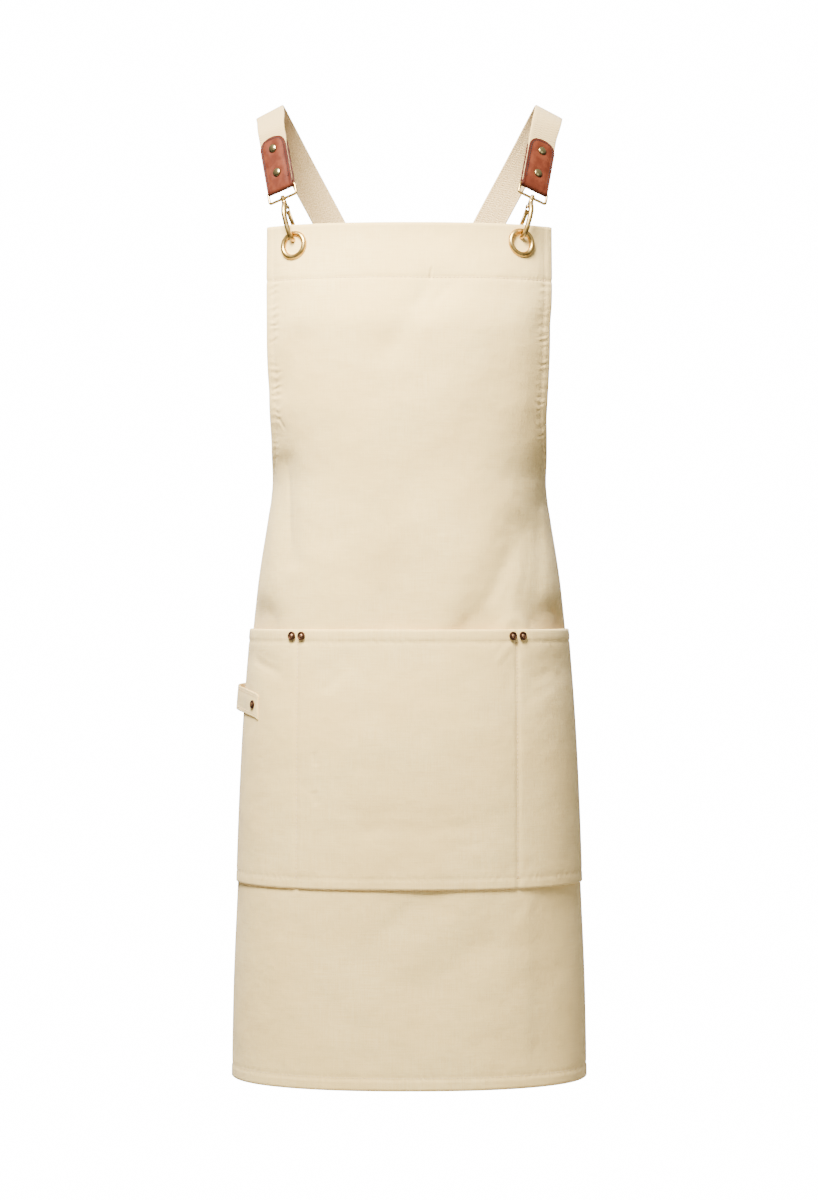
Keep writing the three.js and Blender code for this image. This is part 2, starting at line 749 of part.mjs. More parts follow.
// The hook's wire from its neck down the front, through the eyelet and up to its catch
function hookPath(frame) {
  const foot = -frame.length;
  return [
    vector(0, 0, -hookNeck * 0.55),
    vector(0, hookHalf * 0.45, -hookNeck),
    vector(0, hookHalf * 0.8, -hookNeck * 1.6),
    vector(0, hookHalf, foot + hookCatch * 1.15),
    vector(0, hookHalf * 0.82, foot + hookCatch * 0.42),
    vector(0, 0, foot),
    vector(0, -hookHalf * 0.82, foot + hookCatch * 0.42),
    vector(0, -hookHalf, foot + hookCatch),
  ];
}

const gatePivot = { y: -1.9, z: -hookNeck };

function snapHook(frame) {
  const body = wire(frame, hookPath(frame), hookRadius, 18, 6, false);
  const neckTop = -bossHeight / 2 - gap;
  const post = rod(swivelPost, -hookNeck * 0.55, bossHeight / 2 + gap + 0.1, frame.point, frame.up, 8);
  const head = rod(swivelHead, bossHeight / 2 + gap, bossHeight / 2 + gap + swivelHeadHeight, frame.point, frame.up, 8);
  const collar = rod(swivelHead + 0.3, -hookNeck * 0.75, neckTop, frame.point, frame.up, 8);
  const lug = block(frame, [0, gatePivot.y + 1.1, gatePivot.z + 1], [gateLug, 4.6, 4.4]);
  const pinAt = inFramePoint(frame, 0, gatePivot.y, gatePivot.z);
  const reach = gateLug / 2 + gap + gateCheek;
  const pin = rod(gatePin, -reach, reach, pinAt, frame.across, 8);
  return joined([body, collar, post, head, lug, pin]);
}

// The gate: two cheeks on the pin and a flat bar down to the inside of the hook's catch
function hookGate(frame) {
  const pivot = inFramePoint(frame, 0, gatePivot.y, gatePivot.z);
  const cheekMiddle = gateLug / 2 + gap + gateCheek / 2;
  const cheeks = [-1, 1].map((sign) => {
    const middle = inFramePoint(frame, sign * cheekMiddle, gatePivot.y, gatePivot.z);
    return rod(gateEye, -gateCheek / 2, gateCheek / 2, middle, frame.across, 10);
  });
  const endY = -hookHalf + hookRadius + 2 * gap + gateWall / 2;
  const endZ = -frame.length + hookCatch - 2;
  const top = gatePivot.z - gateEye * 0.7;
  const width = 2 * (gateLug / 2 + gap + gateCheek) - 0.2;
  const bar = new THREE.BoxGeometry(width, gateWall, 1);
  const place = bar.getAttribute("position");
  for (let k = 0; k < place.count; k += 1) {
    const isTop = place.getZ(k) > 0;
    place.setY(k, place.getY(k) + (isTop ? gatePivot.y - 0.4 : endY));
    place.setZ(k, isTop ? top - 1.6 : endZ);
    if (!isTop) place.setX(k, place.getX(k) * 0.8);
  }
  const arms = [-1, 1].map((sign) => block(frame,
    [sign * cheekMiddle, gatePivot.y - 0.4, top - 0.8], [gateCheek - 0.2, gateWall - 0.2, 2.4]));
  const hole = rod(gatePin + gap, -through, through, pivot, frame.across, 8);
  return cut(joined([...cheeks, ...arms, inFrame(bar, frame)]), [hole]);
}

// Webbing strap: a flat ribbon along its route, from inside the tab to inside the wing's corner
function strapEnd(side) {
  const corner = levels.find((level) => level.edge >= 0.9).at * apronLength;
  const places = [-1, 0, 1].map((step) => {
    const drop = corner + step * strapOverlap;
    const inset = strapInset - strapSpread * step * strapOverlap;
    return frameOn(formPoint, clothHalf(corner) - inset, drop);
  });
  const inside = hemWall + gap + webbing / 2 + strapBow;
  return places.map(({ point, out }) => ({ point: point.addScaledVector(out, -inside), out }));
}

function strapCourse(side, frame) {
  const shoulder = THREE.MathUtils.degToRad(shoulderRise);
  const level = vector(Math.cos(shoulder), 0, Math.sin(shoulder));
  const lift = webbing / 2 / Math.cos(shoulder);
  const stops = [];
  const tabStart = loopWire / 2 + gap + 2;
  for (const up of [tabStart, leatherLength * 0.5, leatherLength, leatherLength + tabLead]) {
    stops.push({ point: inFramePoint(frame, 0, 0, up), across: frame.across.clone() });
  }
  const aside = (webbing + gap) / 2 + 0.1;
  for (const row of strapRoute) {
    const point = vector(row.x * shoulderHalf, row.y * backDepth + row.over * side.over * aside,
      row.z * crossDrop + lift);
    stops.push({ point, across: frame.across.clone().lerp(level, row.turn).normalize() });
  }
  for (const end of strapEnd(side)) {
    const down = vector(strapSpread, 0, -1);
    stops.push({ point: end.point, across: down.cross(end.out).normalize() });
  }
  return stops;
}

const strapSteps = 36;
function strap(side, frame) {
  const stops = strapCourse(side, frame);
  const curve = new THREE.CatmullRomCurve3(stops.map((stop) => stop.point), false, "centripetal");
  const steps = strapSteps;
  const positions = [];
  const faces = [];
  for (let step = 0; step <= steps; step += 1) {
    const share = step / steps;
    const point = curve.getPointAt(share);
    const tangent = curve.getTangentAt(share);
    const run = curve.getUtoTmapping(share) * (stops.length - 1);
    const stop = Math.min(Math.floor(run), stops.length - 2);
    const blend = THREE.MathUtils.smoothstep(run - stop, 0, 1);
    const across = stops[stop].across.clone().lerp(stops[stop + 1].across, blend);
    across.addScaledVector(tangent, -across.dot(tangent)).normalize();
    const out = tangent.clone().cross(across).normalize();
    for (const [wide, thick] of [[-1, -1], [1, -1], [1, 1], [-1, 1]]) {
      const corner = point.clone().addScaledVector(across, (wide * webbingWidth) / 2)
        .addScaledVector(out, (thick * webbing) / 2);
      positions.push(corner.x, corner.y, corner.z);
    }
    if (step < steps) {
      for (let k = 0; k < 4; k += 1) {
        const a = step * 4 + k;
        const b = step * 4 + ((k + 1) % 4);
        faces.push(a, b, b + 4, a, b + 4, a + 4);
      }
    }
  }
  const last = steps * 4;
  faces.push(0, 2, 1, 0, 3, 2, last, last + 1, last + 2, last, last + 2, last + 3);
  return outward(closed(positions, faces));
}

for (const side of sides) {
  const frame = tabFrame(side);
  const hook = hookFrame(side);
  frame.swivel = hook.up;
  const rivets = { lower: tabRivetLow, upper: tabRivetLow + tabRivetPitch };
  const holes = Object.values(rivets).map((up) => rivetHole(inFramePoint(frame, 0, 0, up), frame.out));
  add(`strap_${side.name}`, onSide(cut(strap(side, frame), holes), side), colours.webbing);
  add(`leather_tab_${side.name}`, onSide(cut(leatherTab(frame), holes), side), colours.leather);
  for (const [level, up] of Object.entries(rivets)) {
    const origin = inFramePoint(frame, 0, tabInside + leather, up);
    const made = rivet(origin, frame.out, 2 * (tabInside + leather));
    add(`tab_rivet_${side.name}_${level}`, onSide(made, side), colours.brass);
  }
  add(`wire_loop_${side.name}`, onSide(wireLoop(frame), side), colours.gold);
  add(`snap_hook_${side.name}`, onSide(snapHook(hook), side), colours.gold);
  add(`hook_gate_${side.name}`, onSide(hookGate(hook), side), colours.gold);
}

// Pocket rivets, a pair at the top of each divider
const rivetDrop = pocketDrop + pocketRivetDown;
const rivetArcs = [-dividerLeft, dividerRight].flatMap((arc) => [arc - pocketRivetSpread, arc + pocketRivetSpread]);
rivetArcs.forEach((arc, index) => {
  const frame = frameOn(pocketSurface, arc, rivetDrop);
  const inner = frameOn(clothSurface, arc, rivetDrop);
  const stack = frame.point.distanceTo(inner.point) + cloth + gap / 2;
  frame.point.addScaledVector(frame.out, -seamSag);
  const hole = rivetHole(frame.point, frame.out);
  clothCuts.push(hole);
  pocketCuts.push(hole);
  add(`pocket_rivet_${index + 1}`, outward(rivet(frame.point, frame.out, stack)), colours.copper);
});

// Side loop: a doubled strip of canvas, riveted at its front end and sewn at its back end
const sideLoopAt = (share, wide) => {
  const arc = sideLoopStart + (sideLoopEnd - sideLoopStart) * share;
  const drop = sideLoopDrop - sideLoopRise * Math.sqrt(share) + wide * sideLoopWidth;
  const frame = frameOn(pocketSurface, -arc, drop);
  const bow = Math.sin(Math.PI * THREE.MathUtils.clamp((share - 0.25) / 0.7, 0, 1)) ** 1.4;
  const lift = gap + cloth + bow * sideLoopStand;
  return frame.point.addScaledVector(frame.out, lift);
};
const sideLoopColumns = 14;
const sideLoopStrip = wall(sideLoopColumns, 2,
  (column, row) => sideLoopAt(1 - column / sideLoopColumns, row / 2 - 0.5), () => cloth);
const sideRivetShare = sideLoopRivet / (sideLoopEnd - sideLoopStart);
const sideRivetPoint = sideLoopAt(sideRivetShare, 0);
const sideRivetFrame = frameOn(pocketSurface, -(sideLoopStart + sideLoopRivet), sideLoopDrop);
const sideStack = 2 * (cloth + gap) + 2 * gap;
const sideHole = rivetHole(sideRivetPoint, sideRivetFrame.out);
pocketCuts.push(sideHole);
add("side_loop", cut(sideLoopStrip, [sideHole]), colours.canvas);
add("side_loop_rivet", outward(rivet(sideRivetPoint, sideRivetFrame.out, sideStack)), colours.copper);

add("apron_panel", cut(clothSheet, clothCuts), colours.canvas);
add("pocket_panel", cut(pocketSheet, pocketCuts), colours.canvas);

export default apron;
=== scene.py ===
import bpy
import math
import numpy as np
from mathutils import Matrix, Vector


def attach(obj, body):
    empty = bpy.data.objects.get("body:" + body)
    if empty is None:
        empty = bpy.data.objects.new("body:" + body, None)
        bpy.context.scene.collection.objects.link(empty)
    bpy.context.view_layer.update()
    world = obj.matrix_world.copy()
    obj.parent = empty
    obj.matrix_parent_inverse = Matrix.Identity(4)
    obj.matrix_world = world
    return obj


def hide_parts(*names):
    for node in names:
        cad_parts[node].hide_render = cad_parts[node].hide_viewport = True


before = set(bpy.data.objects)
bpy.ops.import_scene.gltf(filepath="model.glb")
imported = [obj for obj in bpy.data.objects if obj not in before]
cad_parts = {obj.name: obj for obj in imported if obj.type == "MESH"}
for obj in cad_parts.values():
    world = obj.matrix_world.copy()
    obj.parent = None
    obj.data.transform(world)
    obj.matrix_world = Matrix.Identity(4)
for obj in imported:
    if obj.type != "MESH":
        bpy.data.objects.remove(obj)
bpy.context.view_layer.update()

# Studio: a round pale floor at the height of the wearer's feet, a level camera in front of the
# middle of the apron, one wide soft light from the upper left, a weaker one from the right and
# a pale room all round.
floor_drop = 1.42
bpy.ops.object.select_all(action="DESELECT")
bpy.ops.mesh.primitive_circle_add(vertices=96, radius=1.6, fill_type="NGON", location=(0, 0, -floor_drop))
studio_floor = bpy.context.object
studio_floor.name = "studio_floor"
floor_paint = bpy.data.materials.new("pale_floor")
floor_paint.use_nodes = True
floor_paint.node_tree.nodes["Principled BSDF"].inputs["Base Color"].default_value = (0.42, 0.42, 0.42, 1)
floor_paint.node_tree.nodes["Principled BSDF"].inputs["Roughness"].default_value = 0.9
studio_floor.data.materials.append(floor_paint)

bpy.ops.object.camera_add(location=(0, -3.43, -0.5), rotation=(math.pi / 2, 0, 0))
camera = bpy.context.object
camera.name = "camera"
camera.data.lens = 100
camera.data.sensor_width = 36
camera.data.shift_x = -0.3 / 1200
bpy.context.scene.camera = camera


def soft_light(name, place, target, size, watts):
    """A square studio light at a place, turned to a point of the apron"""
    bpy.ops.object.light_add(type="AREA", location=place)
    light = bpy.context.object
    light.name = name
    light.rotation_euler = (Vector(target) - Vector(place)).to_track_quat("-Z", "Y").to_euler()
    light.data.size = size
    light.data.energy = watts


soft_light("key_light", (-0.36, -1.02, 0.93), (0, 0, -0.25), 0.7, 205)
soft_light("fill_light", (2.0, -2.4, 0.2), (0, 0, -0.5), 1.6, 12)
soft_light("back_light", (0.6, 2.6, 0.9), (0, 0, -0.5), 1.6, 60)

room = bpy.data.worlds.new("pale_room")
room.use_nodes = True
room_nodes = room.node_tree.nodes
room_links = room.node_tree.links
room_nodes["Background"].inputs["Color"].default_value = (1, 1, 1, 1)
wall_behind = room_nodes.new("ShaderNodeBackground")
wall_behind.inputs["Color"].default_value = (1, 1, 1, 1)
wall_behind.inputs["Strength"].default_value = 16
seen_directly = room_nodes.new("ShaderNodeLightPath")
room_mix = room_nodes.new("ShaderNodeMixShader")
room_way = room_nodes.new("ShaderNodeTexCoord")
room_height = room_nodes.new("ShaderNodeSeparateXYZ")
room_ramp = room_nodes.new("ShaderNodeMapRange")
room_ramp.inputs["From Min"].default_value = -0.3
room_ramp.inputs["From Max"].default_value = 0.9
room_ramp.inputs["To Min"].default_value = 0.05
room_ramp.inputs["To Max"].default_value = 0.55
room_links.new(room_way.outputs["Generated"], room_height.inputs[0])
room_links.new(room_height.outputs[2], room_ramp.inputs["Value"])
room_links.new(room_ramp.outputs[0], room_nodes["Background"].inputs["Strength"])
room_links.new(seen_directly.outputs["Is Camera Ray"], room_mix.inputs[0])
room_links.new(room_nodes["Background"].outputs[0], room_mix.inputs[1])
room_links.new(wall_behind.outputs[0], room_mix.inputs[2])
room_links.new(room_mix.outputs[0], room_nodes["World Output"].inputs["Surface"])
bpy.context.scene.world = room

# Apron panel: one cut of cream cotton canvas, bib and skirt together, hemmed all round with the
# hems turned in and sewn once, and a facing sewn behind the bib's top. It hangs as round a body.
bib_drop = 0.123
apron_length = 0.863
hip_half = 0.182
front_depth = 0.132
back_depth = 0.105
roundness = 2.3
hem_half = 0.360
cloth_wall = 0.0012
facing_wall = 0.0018
hem_wall = 0.0022
facing = 0.055
side_hem = 0.011
bottom_hem = 0.012
fold_depth = 0.006
pocket_drop = 0.407
pocket_height = 0.257
divider_left = 0.116
divider_right = 0.111
seam_band = 0.012
seam_hold = 0.007

# Body form by level: share of the apron's length, then the form's half width, front depth and
# back depth and the cloth's half width, each as a share of its own full size
levels = [
    (0.0, 0.88, 0.76, 0.95, 0.437),
    (0.064, 0.89, 0.856, 0.97, 0.442),
    (0.124, 0.895, 0.94, 1.0, 0.445),
    (0.205, 0.868, 0.94, 1.0, 0.445),
    (0.252, 0.812, 0.932, 0.98, 0.467),
    (0.296, 0.77, 0.924, 0.96, 0.556),
    (0.344, 0.8, 0.928, 0.96, 0.68),
    (0.39, 0.835, 0.94, 0.97, 0.806),
    (0.42, 0.855, 0.947, 0.98, 0.9),
    (0.472, 0.882, 0.955, 1.0, 0.93),
    (0.611, 0.931, 1.0, 1.0, 0.955),
    (0.769, 0.967, 0.992, 0.99, 0.978),
    (0.912, 0.994, 0.985, 0.98, 0.993),
    (1.0, 1.0, 0.985, 0.98, 1.0),
]
level_share, level_half, level_front, level_back, level_edge = range(5)

# Big soft folds, each a valley along a line: from x and level to x and level, width and depth.
# x and width are shares of the hip's half width, levels of the length, depth of the fold depth.
cloth_folds = [
    (-0.6, 0.134, -0.71, 0.19, 0.07, -0.35),
    (0.11, 0.07, -0.1, 0.144, 0.09, -0.35),
    (0.24, 0.07, 0.115, 0.1, 0.07, -0.2),
    (-0.68, 0.278, -0.66, 0.388, 0.06, -0.5),
    (0.75, 0.12, 0.74, 0.22, 0.1, -0.4),
    (0.72, 0.33, 0.69, 0.46, 0.09, -0.5),
    (0.61, 0.358, 0.38, 0.47, 0.12, -0.65),
    (0.37, 0.475, 0.36, 0.56, 0.12, -0.8),
    (-0.12, 0.42, -0.05, 0.6, 0.2, -1.0),
    (-0.82, 0.46, -0.84, 0.62, 0.1, -1.2),
    (0.81, 0.46, 0.83, 0.62, 0.1, -1.2),
    (0.55, 0.2, -0.3, 0.36, 0.16, -0.3),
    (0.1, 0.79, -0.23, 0.84, 0.14, -0.32),
    (0.39, 0.835, 0.1, 0.885, 0.15, -0.38),
    (0.8, 0.8, 0.72, 0.95, 0.14, -0.3),
]


def along(column, share):
    """Value of a column of the levels at a share, rising and falling smoothly from row to row"""
    ats = np.array([row[level_share] for row in levels])
    values = np.array([row[column] for row in levels])
    slopes = np.diff(values) / np.diff(ats)
    before, after = slopes[:-1], slopes[1:]
    steady = before * after > 0
    tangents = np.zeros(len(ats))
    tangents[1:-1] = np.where(steady, 2 * before * after / np.where(steady, before + after, 1), 0)
    share = np.clip(share, ats[0], ats[-1])
    row = np.clip(np.searchsorted(ats, share) - 1, 0, len(ats) - 2)
    run = ats[row + 1] - ats[row]
    t = (share - ats[row]) / run
    rise = values[row + 1] - values[row]
    start, end = tangents[row] * run, tangents[row + 1] * run
    return values[row] + t * start + t**2 * (3 * rise - 2 * start - end) + t**3 * (start + end - 2 * rise)


def section(drop):
    """Half outline of the body form at a drop from the bib's top: x, y and the length so far"""
    share = drop / apron_length
    turns = np.linspace(0, math.pi, 961)
    power = 2 / roundness
    x = along(level_half, share) * hip_half * np.maximum(np.sin(turns), 0) ** power
    depth = np.where(np.cos(turns) > 0, -along(level_front, share) * front_depth,
                     along(level_back, share) * back_depth)
    y = depth * np.abs(np.cos(turns)) ** power
    return x, y, np.concatenate([[0], np.cumsum(np.hypot(np.diff(x), np.diff(y)))])


def form_points(arcs, drops):
    """Points of the body form: a row of arc lengths from the centre front for each drop"""
    points = np.empty(arcs.shape + (3,))
    for row, drop in enumerate(drops):
        x, y, lengths = section(drop)
        far = np.abs(arcs[row])
        points[row, :, 0] = np.sign(arcs[row]) * np.interp(far, lengths, x)
        points[row, :, 1] = np.interp(far, lengths, y)
        points[row, :, 2] = -bib_drop - drop
    return points


def unit(vectors):
    """The same vectors, one long"""
    return vectors / np.linalg.norm(vectors, axis=-1, keepdims=True)


def facing_out(surface, arcs, drops):
    """Points of a surface with their outward directions"""
    step = 0.001
    across = surface(arcs + step, drops) - surface(arcs - step, drops)
    up = surface(arcs, drops - step) - surface(arcs, drops + step)
    return surface(arcs, drops), unit(np.cross(across, up))


def smooth_step(value, low, high):
    """0 below low and 1 above high, smoothly between them"""
    t = np.clip((value - low) / (high - low), 0, 1)
    return t * t * (3 - 2 * t)


def folds_at(folds, places, drops):
    """Depth of a table's folds at places, fading out round the sides"""
    depth = np.zeros(places.shape[:2])
    for x0, at0, x1, at1, wide, deep in folds:
        from_x, from_drop = x0 * hip_half, at0 * apron_length
        run_x, run_drop = (x1 - x0) * hip_half, (at1 - at0) * apron_length
        here_x = places[..., 0] - from_x
        here_drop = drops[:, None] - from_drop
        share = np.clip((here_x * run_x + here_drop * run_drop) / (run_x**2 + run_drop**2), 0, 1)
        away = np.hypot(here_x - share * run_x, here_drop - share * run_drop) / (wide * hip_half)
        depth += deep * fold_depth * np.exp(-away**2)
    return depth * smooth_step(-places[..., 1] / front_depth, 0, 0.25)


def free_of_seams(arcs, drops):
    """How free the cloth is to fold away from the pocket: it isn't where their seams hold it"""
    beside = np.abs(np.abs(arcs) - np.where(arcs < 0, divider_left, divider_right))
    above = np.maximum(pocket_drop - drops, 0)[:, None]
    return smooth_step(np.hypot(beside, above), seam_band, seam_band + seam_hold)


def cloth_surface(arcs, drops):
    """Outer face of the apron's cloth"""
    places, out = facing_out(form_points, arcs, drops)
    folds = np.maximum(folds_at(cloth_folds, places, drops), -fold_depth) * free_of_seams(arcs, drops)
    return places + out * folds[..., None]


def cloth_half(drops):
    """Half width of the flat cloth at drops from the bib's top"""
    return along(level_edge, drops / apron_length) * hem_half


def spread(*stops):
    """Even steps through a row of [place, count] stops"""
    values = [stops[0][0]]
    for (start, _), (end, count) in zip(stops, stops[1:]):
        values += [start + (end - start) * (step + 1) / count for step in range(count)]
    return np.array(values)


def sheet_piece(name, outer, thick, round_rim=0.42):
    """A closed wall of cloth or leather from a grid of outer points, with folded, rounded edges"""
    rows, columns = outer.shape[:2]
    across = np.gradient(outer, axis=1)
    down = np.gradient(outer, axis=0)
    inward = unit(np.cross(across, down))
    inner = outer + inward * thick[..., None]
    grid = np.arange(rows * columns).reshape(rows, columns)
    ring = np.concatenate([grid[0, :-1], grid[:-1, -1], grid[-1, :0:-1], grid[:0:-1, 0]])
    beyond = np.zeros_like(outer)
    beyond[:, 0] -= unit(across[:, 0])
    beyond[:, -1] += unit(across[:, -1])
    beyond[0] -= unit(down[0])
    beyond[-1] += unit(down[-1])
    flat_outer, flat_inner = outer.reshape(-1, 3), inner.reshape(-1, 3)
    swell = unit(beyond.reshape(-1, 3)[ring]) * thick.reshape(-1)[ring][:, None] * round_rim
    rim = (flat_outer[ring] + flat_inner[ring]) / 2 + swell
    count = rows * columns
    a, b, c, d = grid[:-1, :-1], grid[:-1, 1:], grid[1:, 1:], grid[1:, :-1]
    front = np.stack([a, d, c, b], axis=-1).reshape(-1, 4)
    behind = np.stack([a, b, c, d], axis=-1).reshape(-1, 4) + count
    turn = np.roll(ring, -1)
    here = np.arange(len(ring)) + 2 * count
    following = np.roll(here, -1)
    edge_front = np.stack([ring, turn, following, here], axis=-1)
    edge_behind = np.stack([here, following, turn + count, ring + count], axis=-1)
    mesh = bpy.data.meshes.new(name)
    points = np.concatenate([flat_outer, flat_inner, rim])
    faces = np.concatenate([front, behind, edge_front, edge_behind])
    mesh.from_pydata(points.tolist(), [], faces.tolist())
    piece = bpy.data.objects.new(name, mesh)
    bpy.context.scene.collection.objects.link(piece)
    mesh.polygons.foreach_set("use_smooth", np.ones(len(faces), dtype=bool))
    return piece, ring


def note_on_sheet(piece, ring, name, values):
    """Keeps a number for each grid point of a sheet as an attribute of its mesh"""
    flat = values.reshape(-1)
    note = piece.data.attributes.new(name, "FLOAT", "POINT")
    note.data.foreach_set("value", np.concatenate([flat, flat, flat[ring]]).astype(np.float32))


def map_sheet(piece, ring, across, down):
    """Lays a sheet's UV map from shares across and down it"""
    flat = np.stack([across.reshape(-1), 1 - down.reshape(-1)], axis=-1)
    table = np.concatenate([flat, flat, flat[ring]])
    corners = np.empty(len(piece.data.loops), dtype=np.int32)
    piece.data.loops.foreach_get("vertex_index", corners)
    layer = piece.data.uv_layers.new(name="cut")
    layer.data.foreach_set("uv", table[corners].astype(np.float32).reshape(-1))


cloth_drops = spread((0, 0), (0.052, 18), (0.058, 4), (pocket_drop, 88), (pocket_drop + pocket_height, 64),
                     (apron_length - 0.014, 46), (apron_length, 6))
half_shares = spread((0, 0), (0.033, 5), (0.5, 58), (0.967, 58), (1, 5)) * 2 - 1
cloth_edges = cloth_half(cloth_drops)
cloth_arcs = half_shares[None, :] * cloth_edges[:, None]
from_side = cloth_edges[:, None] - np.abs(cloth_arcs)
from_hem = apron_length - cloth_drops[:, None] + 0 * cloth_arcs
from_top = cloth_drops[:, None] + 0 * cloth_arcs


def groove(distance, wide=0.0016):
    """1 along a line of stitches, where the thread pulls the cloth in"""
    return np.exp(-(distance / wide) ** 2)


under_pocket = smooth_step(cloth_drops, pocket_drop - 0.004, pocket_drop) * \
    (1 - smooth_step(cloth_drops, pocket_drop + pocket_height, pocket_drop + pocket_height + 0.004))
cloth_points, cloth_out = facing_out(cloth_surface, cloth_arcs, cloth_drops)
hem_relief = 0.0004 * (smooth_step(side_hem - from_side, -0.001, 0.003)
                       + smooth_step(bottom_hem - from_hem, -0.001, 0.003))
hem_relief -= 0.0006 * (groove(from_side - side_hem) + groove(from_hem - bottom_hem))
hem_relief -= 0.0007 * groove(from_top - facing)
hem_relief *= (1 - under_pocket)[:, None]
cloth_thick = np.where((from_side < side_hem) | (from_hem < bottom_hem), hem_wall - 0.0001,
                       np.where(from_top < facing, facing_wall - 0.0001, cloth_wall))
apron_cloth, cloth_ring = sheet_piece("apron_cloth", cloth_points + cloth_out * hem_relief[..., None], cloth_thick)
map_sheet(apron_cloth, cloth_ring, cloth_arcs / hem_half / 2 + 0.5, from_top / apron_length)
note_on_sheet(apron_cloth, cloth_ring, "from_side", from_side)
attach(apron_cloth, "root")
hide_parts("apron_panel")


class Paint:
    """An output of one material's nodes. Sums, products and powers on it add Math nodes."""

    def __init__(self, finish, socket):
        self.finish = finish
        self.socket = socket

    def maths(self, operation, *values):
        return self.finish.node("Math", {"operation": operation}, dict(enumerate(values)))

    def __add__(self, other):
        return self.maths("ADD", self, other)

    def __radd__(self, other):
        return self.maths("ADD", other, self)

    def __sub__(self, other):
        return self.maths("SUBTRACT", self, other)

    def __rsub__(self, other):
        return self.maths("SUBTRACT", other, self)

    def __mul__(self, other):
        return self.maths("MULTIPLY", self, other)

    def __rmul__(self, other):
        return self.maths("MULTIPLY", other, self)

    def __truediv__(self, other):
        return self.maths("DIVIDE", self, other)

    def __abs__(self):
        return self.maths("ABSOLUTE", self)

    def sine(self):
        return self.maths("SINE", self)

    def between(self, low, high):
        """0 where this is low and 1 where it is high, smoothly between them"""
        sockets = {"Value": self, "From Min": low, "From Max": high}
        return self.finish.node("MapRange", {"interpolation_type": "SMOOTHSTEP"}, sockets)

    def near(self, place, wide):
        """1 at a place, falling to 0 at a distance from it"""
        return 1 - abs(self - place).between(0, wide)


class Finish:
    """One material, and the nodes that paint it"""

    def __init__(self, name, **constants):
        self.material = bpy.data.materials.new(name)
        self.material.use_nodes = True
        self.tree = self.material.node_tree
        self.shader = self.tree.nodes["Principled BSDF"]
        for socket, value in constants.items():
            self.shader.inputs[socket.replace("_", " ")].default_value = value

    def node(self, kind, settings, sockets, output=0):
        made = self.tree.nodes.new("ShaderNode" + kind)
        for name, value in settings.items():
            setattr(made, name, value)
        for name, value in sockets.items():
            if isinstance(value, Paint):
                self.tree.links.new(value.socket, made.inputs[name])
            else:
                made.inputs[name].default_value = value
        return Paint(self, made.outputs[output])

    def parts(self, vector):
        """The three numbers of a vector"""
        return [self.node("SeparateXYZ", {}, {0: vector}, axis) for axis in range(3)]

    def noise(self, vector, scale, detail=2.0, rough=0.5):
        sockets = {"Vector": vector, "Scale": scale, "Detail": detail, "Roughness": rough}
        return self.node("TexNoise", {}, sockets)

    def blend(self, share, first, second):
        """A colour between two, by a share from 0 to 1"""
        return self.node("Mix", {"data_type": "RGBA"}, {0: share, 6: first, 7: second}, 2)

    def note(self, name):
        """A number kept on the mesh"""
        return self.node("Attribute", {"attribute_name": name}, {}, "Fac")

    def map(self, scale):
        """Metres across and down the flat cut, from its UV map"""
        cut = self.node("UVMap", {"uv_map": "cut"}, {})
        across, up, _ = self.parts(cut)
        return (across - 0.5) * scale[0], (1 - up) * scale[1]

    def at(self, x, y, z=0.0):
        return self.node("CombineXYZ", {}, {0: x, 1: y, 2: z})

    def crease(self, across, down, line):
        """A fine crease in the cloth, in millimetres, along a row of a table of creases"""
        x0, level0, x1, level1, wide, depth = line
        start, end = (np.array([arc_at(x * hip_half, level * apron_length), level * apron_length])
                      for x, level in ((x0, level0), (x1, level1)))
        length = float(np.linalg.norm(end - start))
        way_x, way_y = ((end - start) / length).tolist()
        from_x, from_y = across - float(start[0]), down - float(start[1])
        run = from_x * way_x + from_y * way_y
        half = wide * hip_half
        inside = run.between(0, length * 0.3) * (length - run).between(0, length * 0.3)
        return (from_x * way_y - from_y * way_x).near(0, half) * inside * (depth * fold_depth * 1000)

    def into(self, socket, paint):
        self.tree.links.new(paint.socket, self.shader.inputs[socket])

    def relief(self, height, distance, strength=1.0):
        """Raises the surface by a height, 1 being a distance in metres"""
        self.into("Normal", self.node("Bump", {}, {"Height": height, "Distance": distance, "Strength": strength}))


def ink(red, green, blue):
    """A screen colour from 0 to 255 as the light it gives off"""
    return tuple((value / 255) ** 2.2 for value in (red, green, blue)) + (1.0,)


def arc_at(x, drop):
    """How far round the body form from the centre front a place lies, from its x"""
    half_widths, _, lengths = section(drop)
    front = len(half_widths) // 2
    return float(np.sign(x) * np.interp(abs(x), half_widths[:front], lengths[:front]))


